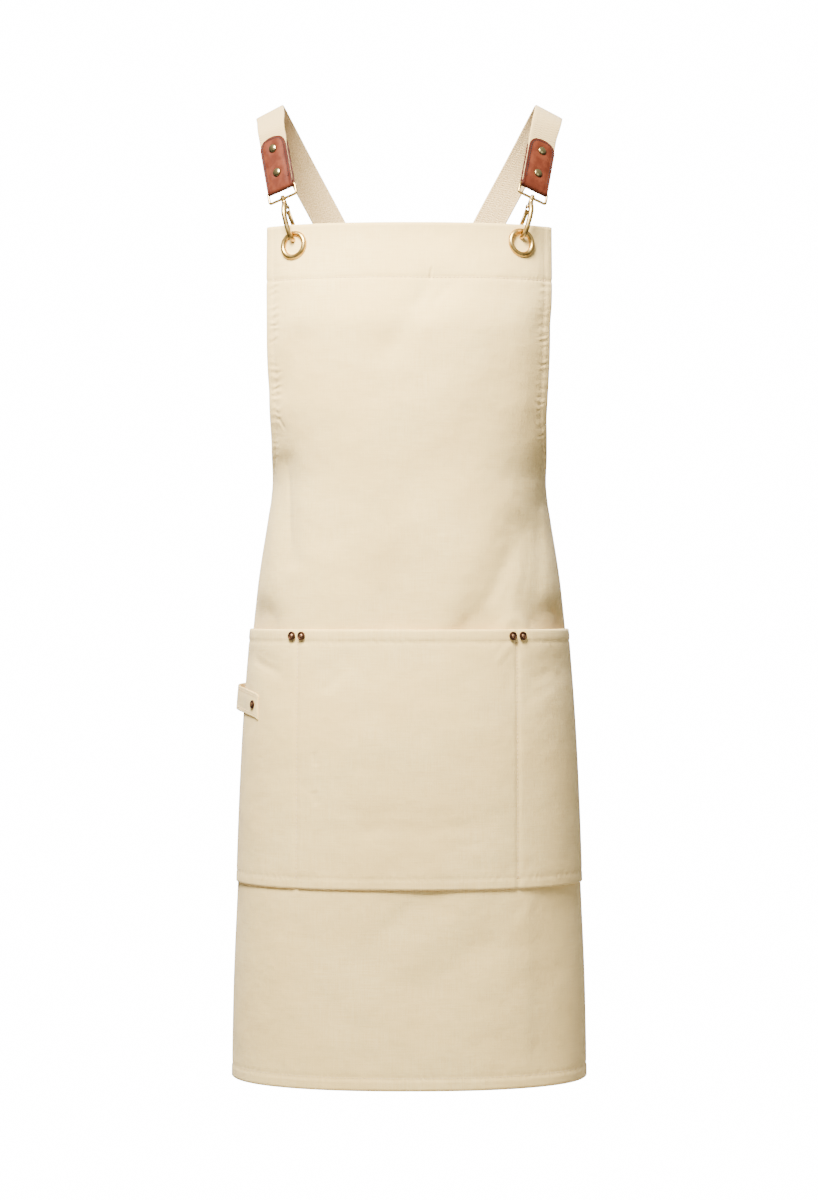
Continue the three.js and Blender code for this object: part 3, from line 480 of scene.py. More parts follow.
def canvas_finish(name, seams, creases):
    """Plain-woven cream canvas. seams are how far down its lines of stitches lie, which pucker it; the puckers' valleys
    are painted darker as painted shade
    """
    finish = Finish(name, Roughness=0.93, Sheen_Weight=0.12, Sheen_Roughness=0.6)
    across, down = finish.map((2 * hem_half, apron_length))
    weave = (across * (2 * math.pi / 0.0011)).sine() * (down * (2 * math.pi / 0.0011)).sine()
    slubs = finish.noise(finish.at(across * 40, down * 900), 1, 1) + finish.noise(finish.at(across * 900, down * 40), 1, 1)
    cloudy = finish.noise(finish.at(across, down), 9, 3)
    crumple = finish.noise(finish.at(across, down), 26, 3, 0.45)
    from_side = finish.note("from_side")
    wobble = finish.noise(finish.at(across, down), 60, 1) * 3
    uneven = finish.noise(finish.at(across, down), 45, 1).between(0.3, 0.62)
    side_pucker = from_side.near(side_hem + 0.001, 0.013) * (down * (2 * math.pi / 0.0078) + wobble * 3).sine() * uneven
    seam_pucker = 0
    for seam in seams:
        seam_pucker = seam_pucker + down.near(seam, 0.007)
    seam_pucker = seam_pucker * (across * (2 * math.pi / 0.0085) + wobble * 4).sine() * uneven
    side_pucker = side_pucker * down.between(facing - 0.002, facing + 0.004) * down.between(0.27, 0.2)
    puckers = side_pucker * 1.4 + seam_pucker * 0.5
    height = weave * 0.04 + slubs * 0.07 + crumple * 2.2 + puckers * 0.25
    for line in creases:
        height = height + finish.crease(across, down, line)
    finish.relief(height, 0.001)
    pale = finish.blend(cloudy.between(0.35, 0.65), ink(236, 200, 122), ink(240, 207, 132))
    worn = finish.blend((slubs * 0.5).between(0.34, 0.72), pale, ink(231, 194, 116))
    # Painted shade: the colour darkens in the valleys of the puckers
    finish.into("Base Color", finish.blend(puckers.between(-0.4, -2.2) * 0.45, worn, ink(190, 154, 98)))
    return finish.material


# Fine creases, in the units of the big folds
cloth_creases = [
    (0.124, 0.05, 0.113, 0.069, 0.014, -0.12),
    (0.113, 0.066, 0.015, 0.107, 0.05, -0.1),
    (0.239, 0.069, 0.119, 0.098, 0.04, -0.07),
    (-0.39, 0.125, -0.4, 0.162, 0.06, -0.07),
    (-0.73, 0.222, -0.68, 0.24, 0.02, -0.1),
    (-0.7, 0.265, -0.66, 0.392, 0.04, -0.12),
    (0.743, 0.285, 0.704, 0.466, 0.08, -0.1),
    (0.617, 0.355, 0.376, 0.463, 0.07, -0.12),
    (0.661, 0.364, 0.524, 0.473, 0.06, 0.08),
    (-0.182, 0.41, -0.078, 0.48, 0.07, -0.12),
    (0.102, 0.776, -0.23, 0.83, 0.07, -0.05),
    (0.387, 0.828, 0.102, 0.884, 0.07, -0.05),
    (0.704, 0.776, 0.573, 0.818, 0.06, 0.06),
]
apron_cloth.data.materials.append(canvas_finish("cream_canvas", [facing, apron_length - bottom_hem],
                                                cloth_creases))



# Pocket panel: a second piece of the same canvas across the apron's front, hemmed at its mouth,
# sewn to the apron along its sides, its foot and two upright seams that part it in three.
pocket_hem = 0.012
pocket_inset = 0.013
pocket_bulge = 0.0014
pocket_gap = 0.0003
pocket_folds = [
    (0.62, 0.535, 0.8, 0.517, 0.08, -0.3),
    (-0.84, 0.505, -0.68, 0.52, 0.05, -0.25),
    (-0.48, 0.53, -0.35, 0.51, 0.06, -0.25),
    (-0.5, 0.695, 0.5, 0.7, 0.08, -0.25),
]


def pocket_surface(arcs, drops):
    """Outer face of the pocket: on the cloth at its seams, standing off it between them"""
    places, out = facing_out(form_points, arcs, drops)
    far = np.abs(arcs)
    seam = np.where(arcs < 0, divider_left, divider_right)
    edge = (cloth_half(drops) - pocket_inset)[:, None]
    beyond = np.clip((far - seam) / (edge - seam), 0, 1)
    across = np.where(far < seam, np.cos(arcs / seam * math.pi / 2), np.sin(beyond * math.pi))
    down = np.cos((drops - pocket_drop) / pocket_height * math.pi / 2)[:, None]
    stand = pocket_bulge * np.maximum(across, 0) ** 0.7 * np.maximum(down, 0) ** 0.7
    stand = np.maximum(stand + folds_at(pocket_folds, places, drops), 0)
    lip = (hem_wall - cloth_wall) * 0.35 * (1 - smooth_step(drops - pocket_drop, pocket_hem - 0.004, pocket_hem))
    return places + out * (stand + pocket_gap + cloth_wall + lip[:, None])[..., None]


pocket_foot = pocket_drop + pocket_height
pocket_drops = spread((pocket_drop, 0), (pocket_drop + 0.014, 7), (pocket_foot - 0.014, 62), (pocket_foot, 7))
pocket_halves = cloth_half(pocket_drops) - pocket_inset
wing_left = (pocket_halves - divider_left)[:, None]
wing_right = (pocket_halves - divider_right)[:, None]
wing_shares = spread((0, 0), (0.05, 6), (0.95, 46), (1, 6))[None, :]
centre_arcs = spread((-divider_left, 0), (-divider_left + 0.008, 6), (divider_right - 0.008, 66),
                     (divider_right, 6))[1:-1][None, :] + 0 * wing_left
pocket_arcs = np.concatenate([-divider_left - wing_left * wing_shares[:, ::-1], centre_arcs,
                              divider_right + wing_right * wing_shares], axis=1)
pocket_points, pocket_out = facing_out(pocket_surface, pocket_arcs, pocket_drops)
beside_seam = np.abs(np.abs(pocket_arcs) - np.where(pocket_arcs < 0, divider_left, divider_right))
below_mouth = pocket_drops[:, None] - pocket_drop + 0 * pocket_arcs
above_foot = pocket_foot - pocket_drops[:, None] + 0 * pocket_arcs
inside_edge = pocket_halves[:, None] - np.abs(pocket_arcs)
pocket_relief = -0.0005 * groove(below_mouth - pocket_hem) - 0.0009 * groove(beside_seam, 0.0026)
pocket_relief -= 0.0004 * (groove(above_foot - 0.0105) + groove(inside_edge - 0.0105))
pocket_relief += 0.0003 * smooth_step(below_mouth, 0, 0.004)
pocket_thick = np.where(below_mouth < pocket_hem, (hem_wall + cloth_wall) / 2, cloth_wall - 0.0001)
pocket_cloth, pocket_ring = sheet_piece("pocket_cloth", pocket_points + pocket_out * pocket_relief[..., None],
                                        pocket_thick)
map_sheet(pocket_cloth, pocket_ring, pocket_arcs / hem_half / 2 + 0.5,
          (pocket_drops[:, None] + 0 * pocket_arcs) / apron_length)
note_on_sheet(pocket_cloth, pocket_ring, "from_side", inside_edge)
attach(pocket_cloth, "root")
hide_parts("pocket_panel")
pocket_creases = [
    (0.639, 0.531, 0.808, 0.517, 0.06, -0.12),
    (0.573, 0.483, 0.452, 0.514, 0.04, 0.09),
    (-0.86, 0.504, -0.68, 0.523, 0.04, -0.12),
    (-0.483, 0.548, -0.352, 0.516, 0.05, -0.08),
    (-0.533, 0.702, 0.507, 0.698, 0.07, -0.1),
    (-0.52, 0.61, -0.5, 0.63, 0.04, -0.08),
    (-0.52, 0.655, -0.5, 0.675, 0.04, -0.08),
]
pocket_cloth.data.materials.append(canvas_finish("pocket_canvas", [pocket_drop + pocket_hem, pocket_foot - 0.0105],
                                                 pocket_creases))

# Side loop: a narrow strip of the same canvas sewn double, riveted to the pocket at its front end
# and sewn at its back end, so that a cloth or a tool's handle can be pushed through.
side_loop_start = 0.170
side_loop_end = 0.316
side_loop_drop = 0.486
side_loop_rise = 0.012
side_loop_width = 0.024
side_loop_stand = 0.008


def side_loop_surface(shares, wides):
    """Outer face of the side loop, by shares along it and across it"""
    points = np.empty(shares.shape + (3,))
    for index, share in np.ndenumerate(shares):
        arc = side_loop_start + (side_loop_end - side_loop_start) * share
        drop = side_loop_drop - side_loop_rise * math.sqrt(max(share, 0)) + wides[index] * side_loop_width
        place, out = facing_out(pocket_surface, np.array([[-arc]]), np.array([drop]))
        bow = math.sin(math.pi * min(max((share - 0.25) / 0.7, 0), 1)) ** 1.4
        points[index] = place[0, 0] + out[0, 0] * (pocket_gap + cloth_wall + bow * side_loop_stand)
    return points


loop_wides, loop_shares = np.meshgrid(spread((-0.5, 0), (-0.36, 3), (0.36, 6), (0.5, 3)),
                                      1 - np.linspace(0, 1, 41), indexing="ij")
loop_points = side_loop_surface(loop_shares, loop_wides)
loop_across = unit(np.gradient(loop_points, axis=1))
loop_down = unit(np.gradient(loop_points, axis=0))
loop_relief = -0.0003 * groove((0.5 - np.abs(loop_wides)) * side_loop_width - 0.003, 0.0012)
loop_points = loop_points - np.cross(loop_across, loop_down) * loop_relief[..., None]
side_strip, strip_ring = sheet_piece("side_strip", loop_points, 0 * loop_wides + cloth_wall)
map_sheet(side_strip, strip_ring, 0.1 + loop_shares * 0.203, 0.5 + loop_wides * 0.028)
note_on_sheet(side_strip, strip_ring, "from_side", (0.5 - np.abs(loop_wides)) * side_loop_width)
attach(side_strip, "root")
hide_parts("side_loop")
side_strip.data.materials.append(pocket_cloth.data.materials[0])

# Leather tabs: a strip of terracotta leather folded round the wire loop, rounded at both ends,
# with the webbing between its two layers, sewn all round and held by two rivets.
leather = 0.0015
leather_width = 0.030
leather_length = 0.057
leather_corner = 0.012
loop_wire = 0.0027
webbing_wall = 0.002
webbing_width = 0.030
tab_inside = max(webbing_wall, loop_wire) / 2 + 0.0003
tab_rivet_low = 0.017
tab_rivet_pitch = 0.027
sides = {
    "left": {"lean": 19, "rise": 13.5, "inward": 0, "up": 0, "over": 1},
    "right": {"lean": 26, "rise": 10, "inward": 0.0035, "up": 0.0025, "over": -1},
}
mirror_x = Matrix.Diagonal((-1, 1, 1, 1))


def frame_matrix(place, across, out, up):
    """A frame with x across, y out and z up, as a matrix"""
    return Matrix.Translation(place) @ Matrix((across, out, up)).transposed().to_4x4()


def tab_frame(side):
    """The tab's frame, its origin in the middle of the wire loop's top bar, on the left"""
    lean, rise = math.radians(side["lean"]), math.radians(side["rise"])
    yaw = math.radians(29)
    up = Vector((-0.17, math.sin(lean), math.cos(lean))).normalized()
    across = Vector((math.cos(yaw), -math.sin(yaw), math.sin(rise)))
    across = (across - up * across.dot(up)).normalized()
    place = Vector((-0.129 + side["inward"], -0.070, -0.085))
    return place, across, across.cross(up), up


def tab_points(side_steps, run_steps, stand):
    """Outer face of a folded tab in its own frame, from its front end round the bar to its back end"""
    bend = math.pi * (tab_inside + leather)
    total = 2 * leather_length + bend
    runs = np.linspace(0, 1, run_steps) * total
    sides_across = spread((-1, 0), (-0.84, 3), (0.84, side_steps), (1, 3))
    run, across = np.meshgrid(runs, sides_across, indexing="xy")
    from_end = np.minimum(run, total - run)
    in_corner = np.clip(leather_corner - from_end, 0, leather_corner)
    narrow = leather_corner - np.sqrt(leather_corner**2 - in_corner**2)
    half = leather_width / 2 - narrow
    outer = tab_inside + leather
    turn = np.clip((run - leather_length) / bend, 0, 1) * math.pi
    height = np.where(from_end < leather_length, leather_length - from_end, 0)
    edge = np.minimum(half * (1 - np.abs(across)), from_end)
    puff = stand * smooth_step(edge, 0.0028, 0.007) - 0.00025 * groove(edge - 0.0024, 0.0007)
    for lift in (tab_rivet_low, tab_rivet_low + tab_rivet_pitch):
        puff = puff * smooth_step(np.hypot(across * half, height - lift), 0.0036, 0.0075)
    puff = puff * smooth_step(height, 0, 0.004)
    depth = (outer + puff) * np.cos(turn)
    drop = -outer * np.sin(turn)
    return np.stack([across * half, depth, height + drop], axis=-1), run / total, across, edge


for side_name, side in sides.items():
    place, across, out, up = tab_frame(side)
    points, run_share, wide_share, edge = tab_points(10, 72, 0.0006)
    to_place = np.array(frame_matrix(place, across, out, up))
    if side_name == "right":
        to_place = np.array(mirror_x) @ to_place
    points = points @ to_place[:3, :3].T + to_place[:3, 3]
    if np.linalg.det(to_place[:3, :3]) < 0:
        points, run_share, wide_share, edge = (item[::-1] for item in (points, run_share, wide_share, edge))
    tab, tab_ring = sheet_piece(f"tab_{side_name}", points, 0 * edge + leather, 0.25)
    map_sheet(tab, tab_ring, wide_share / 2 + 0.5, run_share)
    note_on_sheet(tab, tab_ring, "from_edge", edge)
    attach(tab, "root")
    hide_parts(f"leather_tab_{side_name}")

# Straps: flat cotton webbing, 30 mm wide, woven in a herringbone. Each runs from inside its tab
# over the shoulder, crosses the other on the back and is sewn inside the skirt's far corner.
shoulder_half = 0.143
shoulder_rise = 28
cross_drop = 0.273
strap_overlap = 0.034
strap_inset = 0.012
strap_bow = 0.0039
strap_spread = 0.45
strap_gap = 0.0003

# The webbing's middle on the left: x, y and z as shares of the shoulder's half width, the back's
# depth and the drop to the crossing, then how far it keeps to its own side and lies as shoulders do
strap_route = [
    (-0.99, -0.25, -0.03, 0, 0.6),
    (-1.0, 0.0, 0.0, 0, 1),
    (-0.945, 0.3, -0.045, 0, 1),
    (-0.79, 0.68, -0.19, 0, 1),
    (-0.6, 0.88, -0.37, 1, 1),
    (-0.32, 0.96, -0.65, 1, 1),
    (0.0, 0.97, -1.0, 1, 1),
    (0.3, 0.9, -1.35, 1, 1),
]


def strap_stops(side):
    """Places on the webbing's middle with the way across it at each"""
    place, across, out, up = (np.array(item) for item in tab_frame(side))
    lifts = (loop_wire / 2 + strap_gap + 0.002, leather_length / 2, leather_length, leather_length + 0.009)
    stops = [(place + up * lift, across) for lift in lifts]
    rise = math.radians(shoulder_rise)
    level = np.array([math.cos(rise), 0, math.sin(rise)])
    lift = webbing_wall / 2 / math.cos(rise)
    aside = (webbing_wall + strap_gap) / 2 + 0.0001
    for x, y, z, over, turn in strap_route:
        point = np.array([x * shoulder_half, y * back_depth + over * side["over"] * aside, z * cross_drop + lift])
        stops.append((point, unit(across * (1 - turn) + level * turn)))
    corner = 0.42 * apron_length
    inside = hem_wall + strap_gap + webbing_wall / 2 + strap_bow
    for step in (-1, 0, 1):
        arc = cloth_half(corner) - (strap_inset - strap_spread * step * strap_overlap)
        point, away = facing_out(form_points, np.array([[float(arc)]]), np.array([corner + step * strap_overlap]))
        away = away[0, 0]
        stops.append((point[0, 0] - away * inside, unit(np.cross([strap_spread, 0, -1], away))))
    return stops


def route_points(points, fine=24):
    """A smooth line through points, its spacing by the root of their distances, with the share
    of the way between them at each place"""
    points = np.array(points)
    before = 2 * points[0] - points[1]
    after = 2 * points[-1] - points[-2]
    full = np.concatenate([[before], points, [after]])
    line, shares = [], []
    for index in range(len(points) - 1):
        p0, p1, p2, p3 = full[index:index + 4]
        gaps = [max(np.linalg.norm(b - a) ** 0.5, 1e-6) for a, b in ((p0, p1), (p1, p2), (p2, p3))]
        start = ((p1 - p0) / gaps[0] - (p2 - p0) / (gaps[0] + gaps[1]) + (p2 - p1) / gaps[1]) * gaps[1]
        end = ((p2 - p1) / gaps[1] - (p3 - p1) / (gaps[1] + gaps[2]) + (p3 - p2) / gaps[2]) * gaps[1]
        for step in range(fine):
            t = step / fine
            line.append(p1 + start * t + (3 * (p2 - p1) - 2 * start - end) * t**2
                        + (2 * (p1 - p2) + start + end) * t**3)
            shares.append(index + t)
    return np.array(line + [points[-1]]), np.array(shares + [len(points) - 1])


for side_name, side in sides.items():
    stops = strap_stops(side)
    line, shares = route_points([stop[0] for stop in stops])
    lengths = np.concatenate([[0], np.cumsum(np.linalg.norm(np.diff(line, axis=0), axis=1))])
    even = np.linspace(0, lengths[-1], 240)
    middle = np.stack([np.interp(even, lengths, line[:, axis]) for axis in range(3)], axis=-1)
    share = np.interp(even, lengths, shares)
    stop = np.minimum(share.astype(int), len(stops) - 2)
    blend = smooth_step(share - stop, 0, 1)[:, None]
    wide_ways = np.array([stop_across for _, stop_across in stops])
    ways = wide_ways[stop] * (1 - blend) + wide_ways[stop + 1] * blend
    along_way = unit(np.gradient(middle, axis=0))
    ways = unit(ways - along_way * (ways * along_way).sum(axis=1, keepdims=True))
    away = unit(np.cross(along_way, ways))
    wides = spread((-1, 0), (-0.9, 2), (0.9, 8), (1, 2))
    selvedge = 0.00012 * np.cos(np.clip((1 - np.abs(wides)) / 0.1, 0, 1) * math.pi)
    in_tab = 1 - smooth_step(even, 0.036, 0.05)
    half = (webbing_width / 2 - 0.0012 * in_tab)[None, :, None]
    points = middle[None] + ways[None] * wides[:, None, None] * half \
        + away[None] * (webbing_wall / 2 + selvedge)[:, None, None]
    if side_name == "right":
        points = points * np.array([-1, 1, 1])
    else:
        points = points[::-1]
    strap, strap_ring = sheet_piece(f"webbing_{side_name}", points, np.full(points.shape[:2], webbing_wall), 0.3)
    map_sheet(strap, strap_ring, (wides[:, None] + 1) / 2 + 0 * even[None], even[None] / 0.6 + 0 * wides[:, None])
    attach(strap, "root")
    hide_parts(f"strap_{side_name}")


def webbing_finish():
    """Off-white cotton webbing in a herringbone of five ribs, coarser on its inner face"""
    finish = Finish("cotton_webbing", Roughness=0.95, Sheen_Weight=0.15, Sheen_Roughness=0.6)
    cut = finish.node("UVMap", {"uv_map": "cut"}, {})
    wide, run, _ = finish.parts(cut)
    across, down = wide * webbing_width, (1 - run) * 0.6
    rib = abs(finish.node("Math", {"operation": "PINGPONG"}, {0: across, 1: 0.003}))
    twill = ((down + rib) * (2 * math.pi / 0.0024)).sine()
    yarn = (across * (2 * math.pi / 0.001)).sine()
    fibre = finish.noise(finish.at(across * 300, down * 2200), 1, 2)
    heather = finish.noise(finish.at(across * 900, down * 700), 1, 1)
    inside = finish.note("inner_face")
    coarse = inside * (heather - 0.5) * 0.8
    finish.relief(twill * 0.16 + yarn * 0.05 + fibre * 0.3 + coarse * 0.4, 0.001)
    outer = finish.blend(twill.between(-1, 1) * 0.6 + fibre * 0.4, ink(180, 147, 87), ink(213, 181, 117))
    inner = finish.blend(heather.between(0.36, 0.64), ink(206, 168, 106), ink(240, 206, 146))
    finish.into("Base Color", finish.blend(inside, outer, inner))
    return finish.material


webbing_paint = webbing_finish()
for side_name in sides:
    strap = bpy.data.objects[f"webbing_{side_name}"]
    strap.data.materials.append(webbing_paint)
    grid_count = (len(strap.data.vertices) - 2 * (13 + 240 - 2)) // 2
    flags = np.zeros(len(strap.data.vertices), dtype=np.float32)
    flags[:grid_count] = 1
    note = strap.data.attributes.new("inner_face", "FLOAT", "POINT")
    note.data.foreach_set("value", flags)


def leather_finish():
    """Terracotta leather with a fine grain, darker along its cut edges, with painted shade along the groove of its
    stitch line
    """
    finish = Finish("terracotta_leather", Specular_IOR_Level=0.12)
    place = finish.node("TexCoord", {}, {}, "Object")
    grain = finish.node("TexVoronoi", {"feature": "DISTANCE_TO_EDGE"}, {"Vector": place, "Scale": 1500.0})
    pores = finish.noise(place, 900, 2)
    cloudy = finish.noise(place, 90, 4)
    edge = finish.note("from_edge")
    finish.relief(grain.between(0, 0.16) * 0.05 + pores * 0.08 + cloudy * 0.15, 0.0006)
    body = finish.blend(cloudy.between(0.35, 0.65), ink(74, 35, 22), ink(90, 46, 30))
    # Darker within 2 mm of the cut edge, and a line of painted shade along the stitch groove 2.4 mm in from it
    edge_dark_and_groove_shade = edge.between(0.002, 0.0003) * 0.8 + edge.near(0.0024, 0.0011) * 0.7
    finish.into("Base Color", finish.blend(edge_dark_and_groove_shade, body, ink(52, 20, 12)))
    finish.into("Roughness", 0.46 + pores * 0.16)
    return finish.material


leather_paint = leather_finish()
for side_name in sides:
    bpy.data.objects[f"tab_{side_name}"].data.materials.append(leather_paint)

# Eyelets: pale gold brass, a domed ring in front with its barrel through the cloth, curled over a
# washer behind. One stands near each upper corner of the bib for the snap hook.
eyelet_out = 0.116
eyelet_drop = 0.0205
eyelet_hole = 0.0095
eyelet_outer = 0.015
eyelet_dome = 0.0032
washer_outer = 0.014


def eyelet_frame(side):
    """The eyelet's place on the cloth and its across, out and up, on the left"""
    drop = eyelet_drop - side["up"]
    x, _, lengths = section(drop)
    front_half = len(x) // 2
    arc = -float(np.interp(eyelet_out - side["inward"], x[:front_half], lengths[:front_half]))
    place, out = facing_out(cloth_surface, np.array([[arc]]), np.array([drop]))
    step = 0.001
    above, below = (cloth_surface(np.array([[arc]]), np.array([drop + way]))[0, 0] for way in (-step, step))
    up = Vector(above - below).normalized()
    out = Vector(out[0, 0])
    return Vector(place[0, 0]), up.cross(out), out, up


def turned(name, profile, steps):
    """A turned metal part about Z, from the closed half section of its wall: radius, height"""
    bpy.ops.object.select_all(action="DESELECT")
    bpy.ops.mesh.primitive_circle_add(vertices=len(profile), radius=0.01)
    part = bpy.context.object
    part.name = name
    for vertex, (radius, height) in zip(part.data.vertices, profile):
        vertex.co = (radius, 0, height)
    bpy.ops.object.mode_set(mode="EDIT")
    bpy.ops.mesh.select_all(action="SELECT")
    bpy.ops.mesh.spin(steps=steps, angle=2 * math.pi, center=(0, 0, 0), axis=(0, 0, 1))
    bpy.ops.mesh.select_all(action="SELECT")
    bpy.ops.mesh.remove_doubles(threshold=0.00001)
    bpy.ops.mesh.delete_loose()
    bpy.ops.mesh.select_all(action="SELECT")
    bpy.ops.mesh.normals_make_consistent(inside=False)
    bpy.ops.object.mode_set(mode="OBJECT")
    bpy.ops.object.shade_smooth_by_angle(angle=math.radians(40))
    return part


def along_axis(place, axis):
    """A matrix that carries Z to an axis through a place"""
    return Matrix.Translation(place) @ Vector(axis).to_track_quat("Z", "X").to_matrix().to_4x4()


def settle(part, matrix, side_name="left"):
    """Puts a part in its place, or in the mirrored place on the right, with all of it in its mesh"""
    full = mirror_x @ matrix if side_name == "right" else matrix
    part.data.transform(full)
    if full.determinant() < 0:
        part.data.flip_normals()


def arc_profile(centre, radii, start, end, steps):
    """Points of an elliptic arc in a section, from one angle to another in degrees"""
    angles = [math.radians(start + (end - start) * step / steps) for step in range(steps + 1)]
    return [(centre[0] + radii[0] * math.cos(turn), centre[1] + radii[1] * math.sin(turn)) for turn in angles]


def gold_finish():
    """Pale gold plating, softly polished"""
    finish = Finish("pale_gold", Metallic=1.0)
    place = finish.node("TexCoord", {}, {}, "Object")
    smudge = finish.noise(place, 160, 3)
    finish.into("Base Color", finish.blend(smudge.between(0.3, 0.7), ink(186, 148, 80), ink(210, 176, 106)))
    finish.into("Roughness", 0.26 + smudge * 0.14)
    return finish.material


gold_paint = gold_finish()
ring_middle = (eyelet_hole + eyelet_outer) / 2
ring_half = (eyelet_outer - eyelet_hole) / 2
eyelet_profile = arc_profile((ring_middle, 0.0004), (ring_half, eyelet_dome - 0.0001), 0, 180, 14)
eyelet_profile += [(eyelet_hole, -0.0034), (eyelet_hole + 0.0006, -0.004), (eyelet_hole + 0.0022, -0.004),
                   (eyelet_hole + 0.003, -0.0033), (eyelet_hole + 0.0009, -0.0033), (eyelet_hole + 0.0009, 0.0004)]
washer_profile = [(0.0108, -0.0021), (0.0108, -0.0028), (0.0128, -0.0029), (0.0136, -0.0026), (0.014, -0.0021)]
for side_name, side in sides.items():
    place, across, out, up = eyelet_frame(side)
    for part_name, profile, node in (("eyelet_ring", eyelet_profile, "eyelet"),
                                     ("eyelet_back", washer_profile, "eyelet_washer")):
        part = turned(f"{part_name}_{side_name}", profile, 72)
        settle(part, along_axis(place, out), side_name)
        part.data.materials.append(gold_paint)
        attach(part, "root")
        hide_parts(f"{node}_{side_name}")

# Rivets: domed caps on posts with flat buttons behind. The tabs have two of antique brass each,
# the pocket and its side loop five of dark copper with a rim round a lighter dome.
rivet_cap = 0.0041
rivet_post = 0.0016
pocket_rivet_down = 0.006
pocket_rivet_spread = 0.0058


def aged_finish(name, bright, dark, roughness):
    """Antiqued metal: dark in its hollows and round its rim, rubbed bright on its dome"""
    finish = Finish(name, Metallic=1.0)
    place = finish.node("TexCoord", {}, {}, "Object")
    stain = finish.noise(place, 700, 4)
    rubbed = finish.note("rubbed")
    share = (rubbed + (stain - 0.5) * 0.5).between(0.1, 0.9)
    finish.into("Base Color", finish.blend(share, dark, bright))
    finish.into("Roughness", roughness + (1 - share) * 0.2)
    return finish.material


def rivet(name, profile, stack, rub_from, rub_to, matrix, side_name="left"):
    """A rivet through a stack, rubbed bright inside one radius and dark beyond another"""
    back = -stack - 0.0003
    shank = [(rivet_post, 0.0003), (rivet_post, back), (rivet_cap * 0.9, back), (rivet_cap * 0.8, back - 0.001),
             (0, back - 0.001)]
    part = turned(name, profile + shank, 32)
    radii = np.array([math.hypot(vertex.co.x, vertex.co.y) for vertex in part.data.vertices])
    rubbed = 1 - smooth_step(radii, rub_from, rub_to)
    note = part.data.attributes.new("rubbed", "FLOAT", "POINT")
    note.data.foreach_set("value", rubbed.astype(np.float32))
    settle(part, matrix, side_name)
    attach(part, "root")
    return part


brass_paint = aged_finish("antique_brass", ink(190, 172, 118), ink(84, 72, 40), 0.22)
copper_paint = aged_finish("antique_copper", ink(184, 138, 102), ink(74, 50, 36), 0.4)
dome_profile = [(0, 0.0022), (0.0015, 0.00215), (0.0028, 0.0019), (0.0037, 0.0015), (0.0042, 0.0011),
                (0.0044, 0.0007), (0.0044, 0.0003)]
ringed_profile = [(0, 0.0021), (0.0010, 0.0020), (0.0018, 0.0016), (0.0022, 0.0011), (0.0025, 0.0010),
                  (0.0029, 0.0015), (0.0036, 0.0017), (0.0042, 0.0014), (0.0044, 0.0009), (0.0043, 0.0003)]
for side_name, side in sides.items():
    place, across, out, up = tab_frame(side)
    for level, lift in (("lower", tab_rivet_low), ("upper", tab_rivet_low + tab_rivet_pitch)):
        seat = place + up * lift + out * (tab_inside + leather)
        part = rivet(f"dome_{side_name}_{level}", dome_profile, 2 * (tab_inside + leather), 0.0034, 0.0045,
                     along_axis(seat, out), side_name)
        part.data.materials.append(brass_paint)
        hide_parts(f"tab_rivet_{side_name}_{level}")

rivet_drops = np.array([pocket_drop + pocket_rivet_down])
rivet_arcs = [seam + way for seam in (-divider_left, divider_right)
              for way in (-pocket_rivet_spread, pocket_rivet_spread)]
for index, arc in enumerate(rivet_arcs):
    place, out = (item[0, 0] for item in facing_out(pocket_surface, np.array([[arc]]), rivet_drops))
    behind = facing_out(cloth_surface, np.array([[arc]]), rivet_drops)[0][0, 0]
    stack = float(np.linalg.norm(place - behind)) + cloth_wall + 0.00015
    part = rivet(f"ringed_{index + 1}", ringed_profile, stack, 0.0014, 0.0022,
                 along_axis(Vector(place + out * 0.0007), out))
    part.data.materials.append(copper_paint)
    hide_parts(f"pocket_rivet_{index + 1}")

side_rivet = 0.010
strip_place = side_loop_surface(np.array([[side_rivet / (side_loop_end - side_loop_start)]]), np.zeros((1, 1)))[0, 0]
strip_out = facing_out(pocket_surface, np.array([[-side_loop_start - side_rivet]]), np.array([side_loop_drop]))[1]
part = rivet("ringed_side", ringed_profile, 2 * (cloth_wall + 0.0003) + 0.0006, 0.0014, 0.0022,
             along_axis(Vector(strip_place), strip_out[0, 0]))
part.data.materials.append(copper_paint)
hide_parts("side_loop_rivet")

# Wire loops: rounded rectangles of pale gold wire through the tabs' folds, with a drilled boss in
# the lower bar for the hook's swivel.
loop_width = 0.035
loop_height = 0.0145
loop_drop = loop_height - loop_wire
boss_radius = 0.0027
boss_height = 0.0034
hook_wire = 0.004
hook_half = 0.0095
hook_neck = 0.0095
hook_catch = 0.0085
hook_slack = 0.0017
gate_pivot = (-0.0019, -hook_neck)


def hook_frame(side):
    """The hook's frame, its origin the swivel in the loop's lower bar, and its length to the eyelet"""
    eyelet, _, eyelet_away, eyelet_up = eyelet_frame(side)
    tab_place, _, _, tab_up = tab_frame(side)
    place = tab_place - tab_up * loop_drop
    hold = eyelet + eyelet_away * (0.0003 + eyelet_dome + 0.0003 + hook_wire / 2 - hook_half)
    hold += eyelet_up * (eyelet_hole - hook_wire / 2 - hook_slack)
    up = (place - hold).normalized()
    out = (eyelet_away - up * eyelet_away.dot(up)).normalized()
    return place, out.cross(up), out, up, (place - hold).length


def wire_part(name, points, radii, is_ring=False):
    """Bent wire through points, with a thickness at each"""
    path = bpy.data.curves.new(name, "CURVE")
    path.dimensions = "3D"
    path.bevel_depth = 1
    path.bevel_resolution = 5
    path.use_fill_caps = not is_ring
    line = path.splines.new("POLY")
    line.points.add(len(points) - 1)
    for point, place, radius in zip(line.points, points, radii):
        point.co = (*place, 1)
        point.radius = radius
    line.use_cyclic_u = is_ring
    part = bpy.data.objects.new(name, path)
    bpy.context.scene.collection.objects.link(part)
    bpy.ops.object.select_all(action="DESELECT")
    part.select_set(True)
    bpy.context.view_layer.objects.active = part
    bpy.ops.object.convert(target="MESH")
    bpy.ops.object.shade_smooth_by_angle(angle=math.radians(50))
    return part


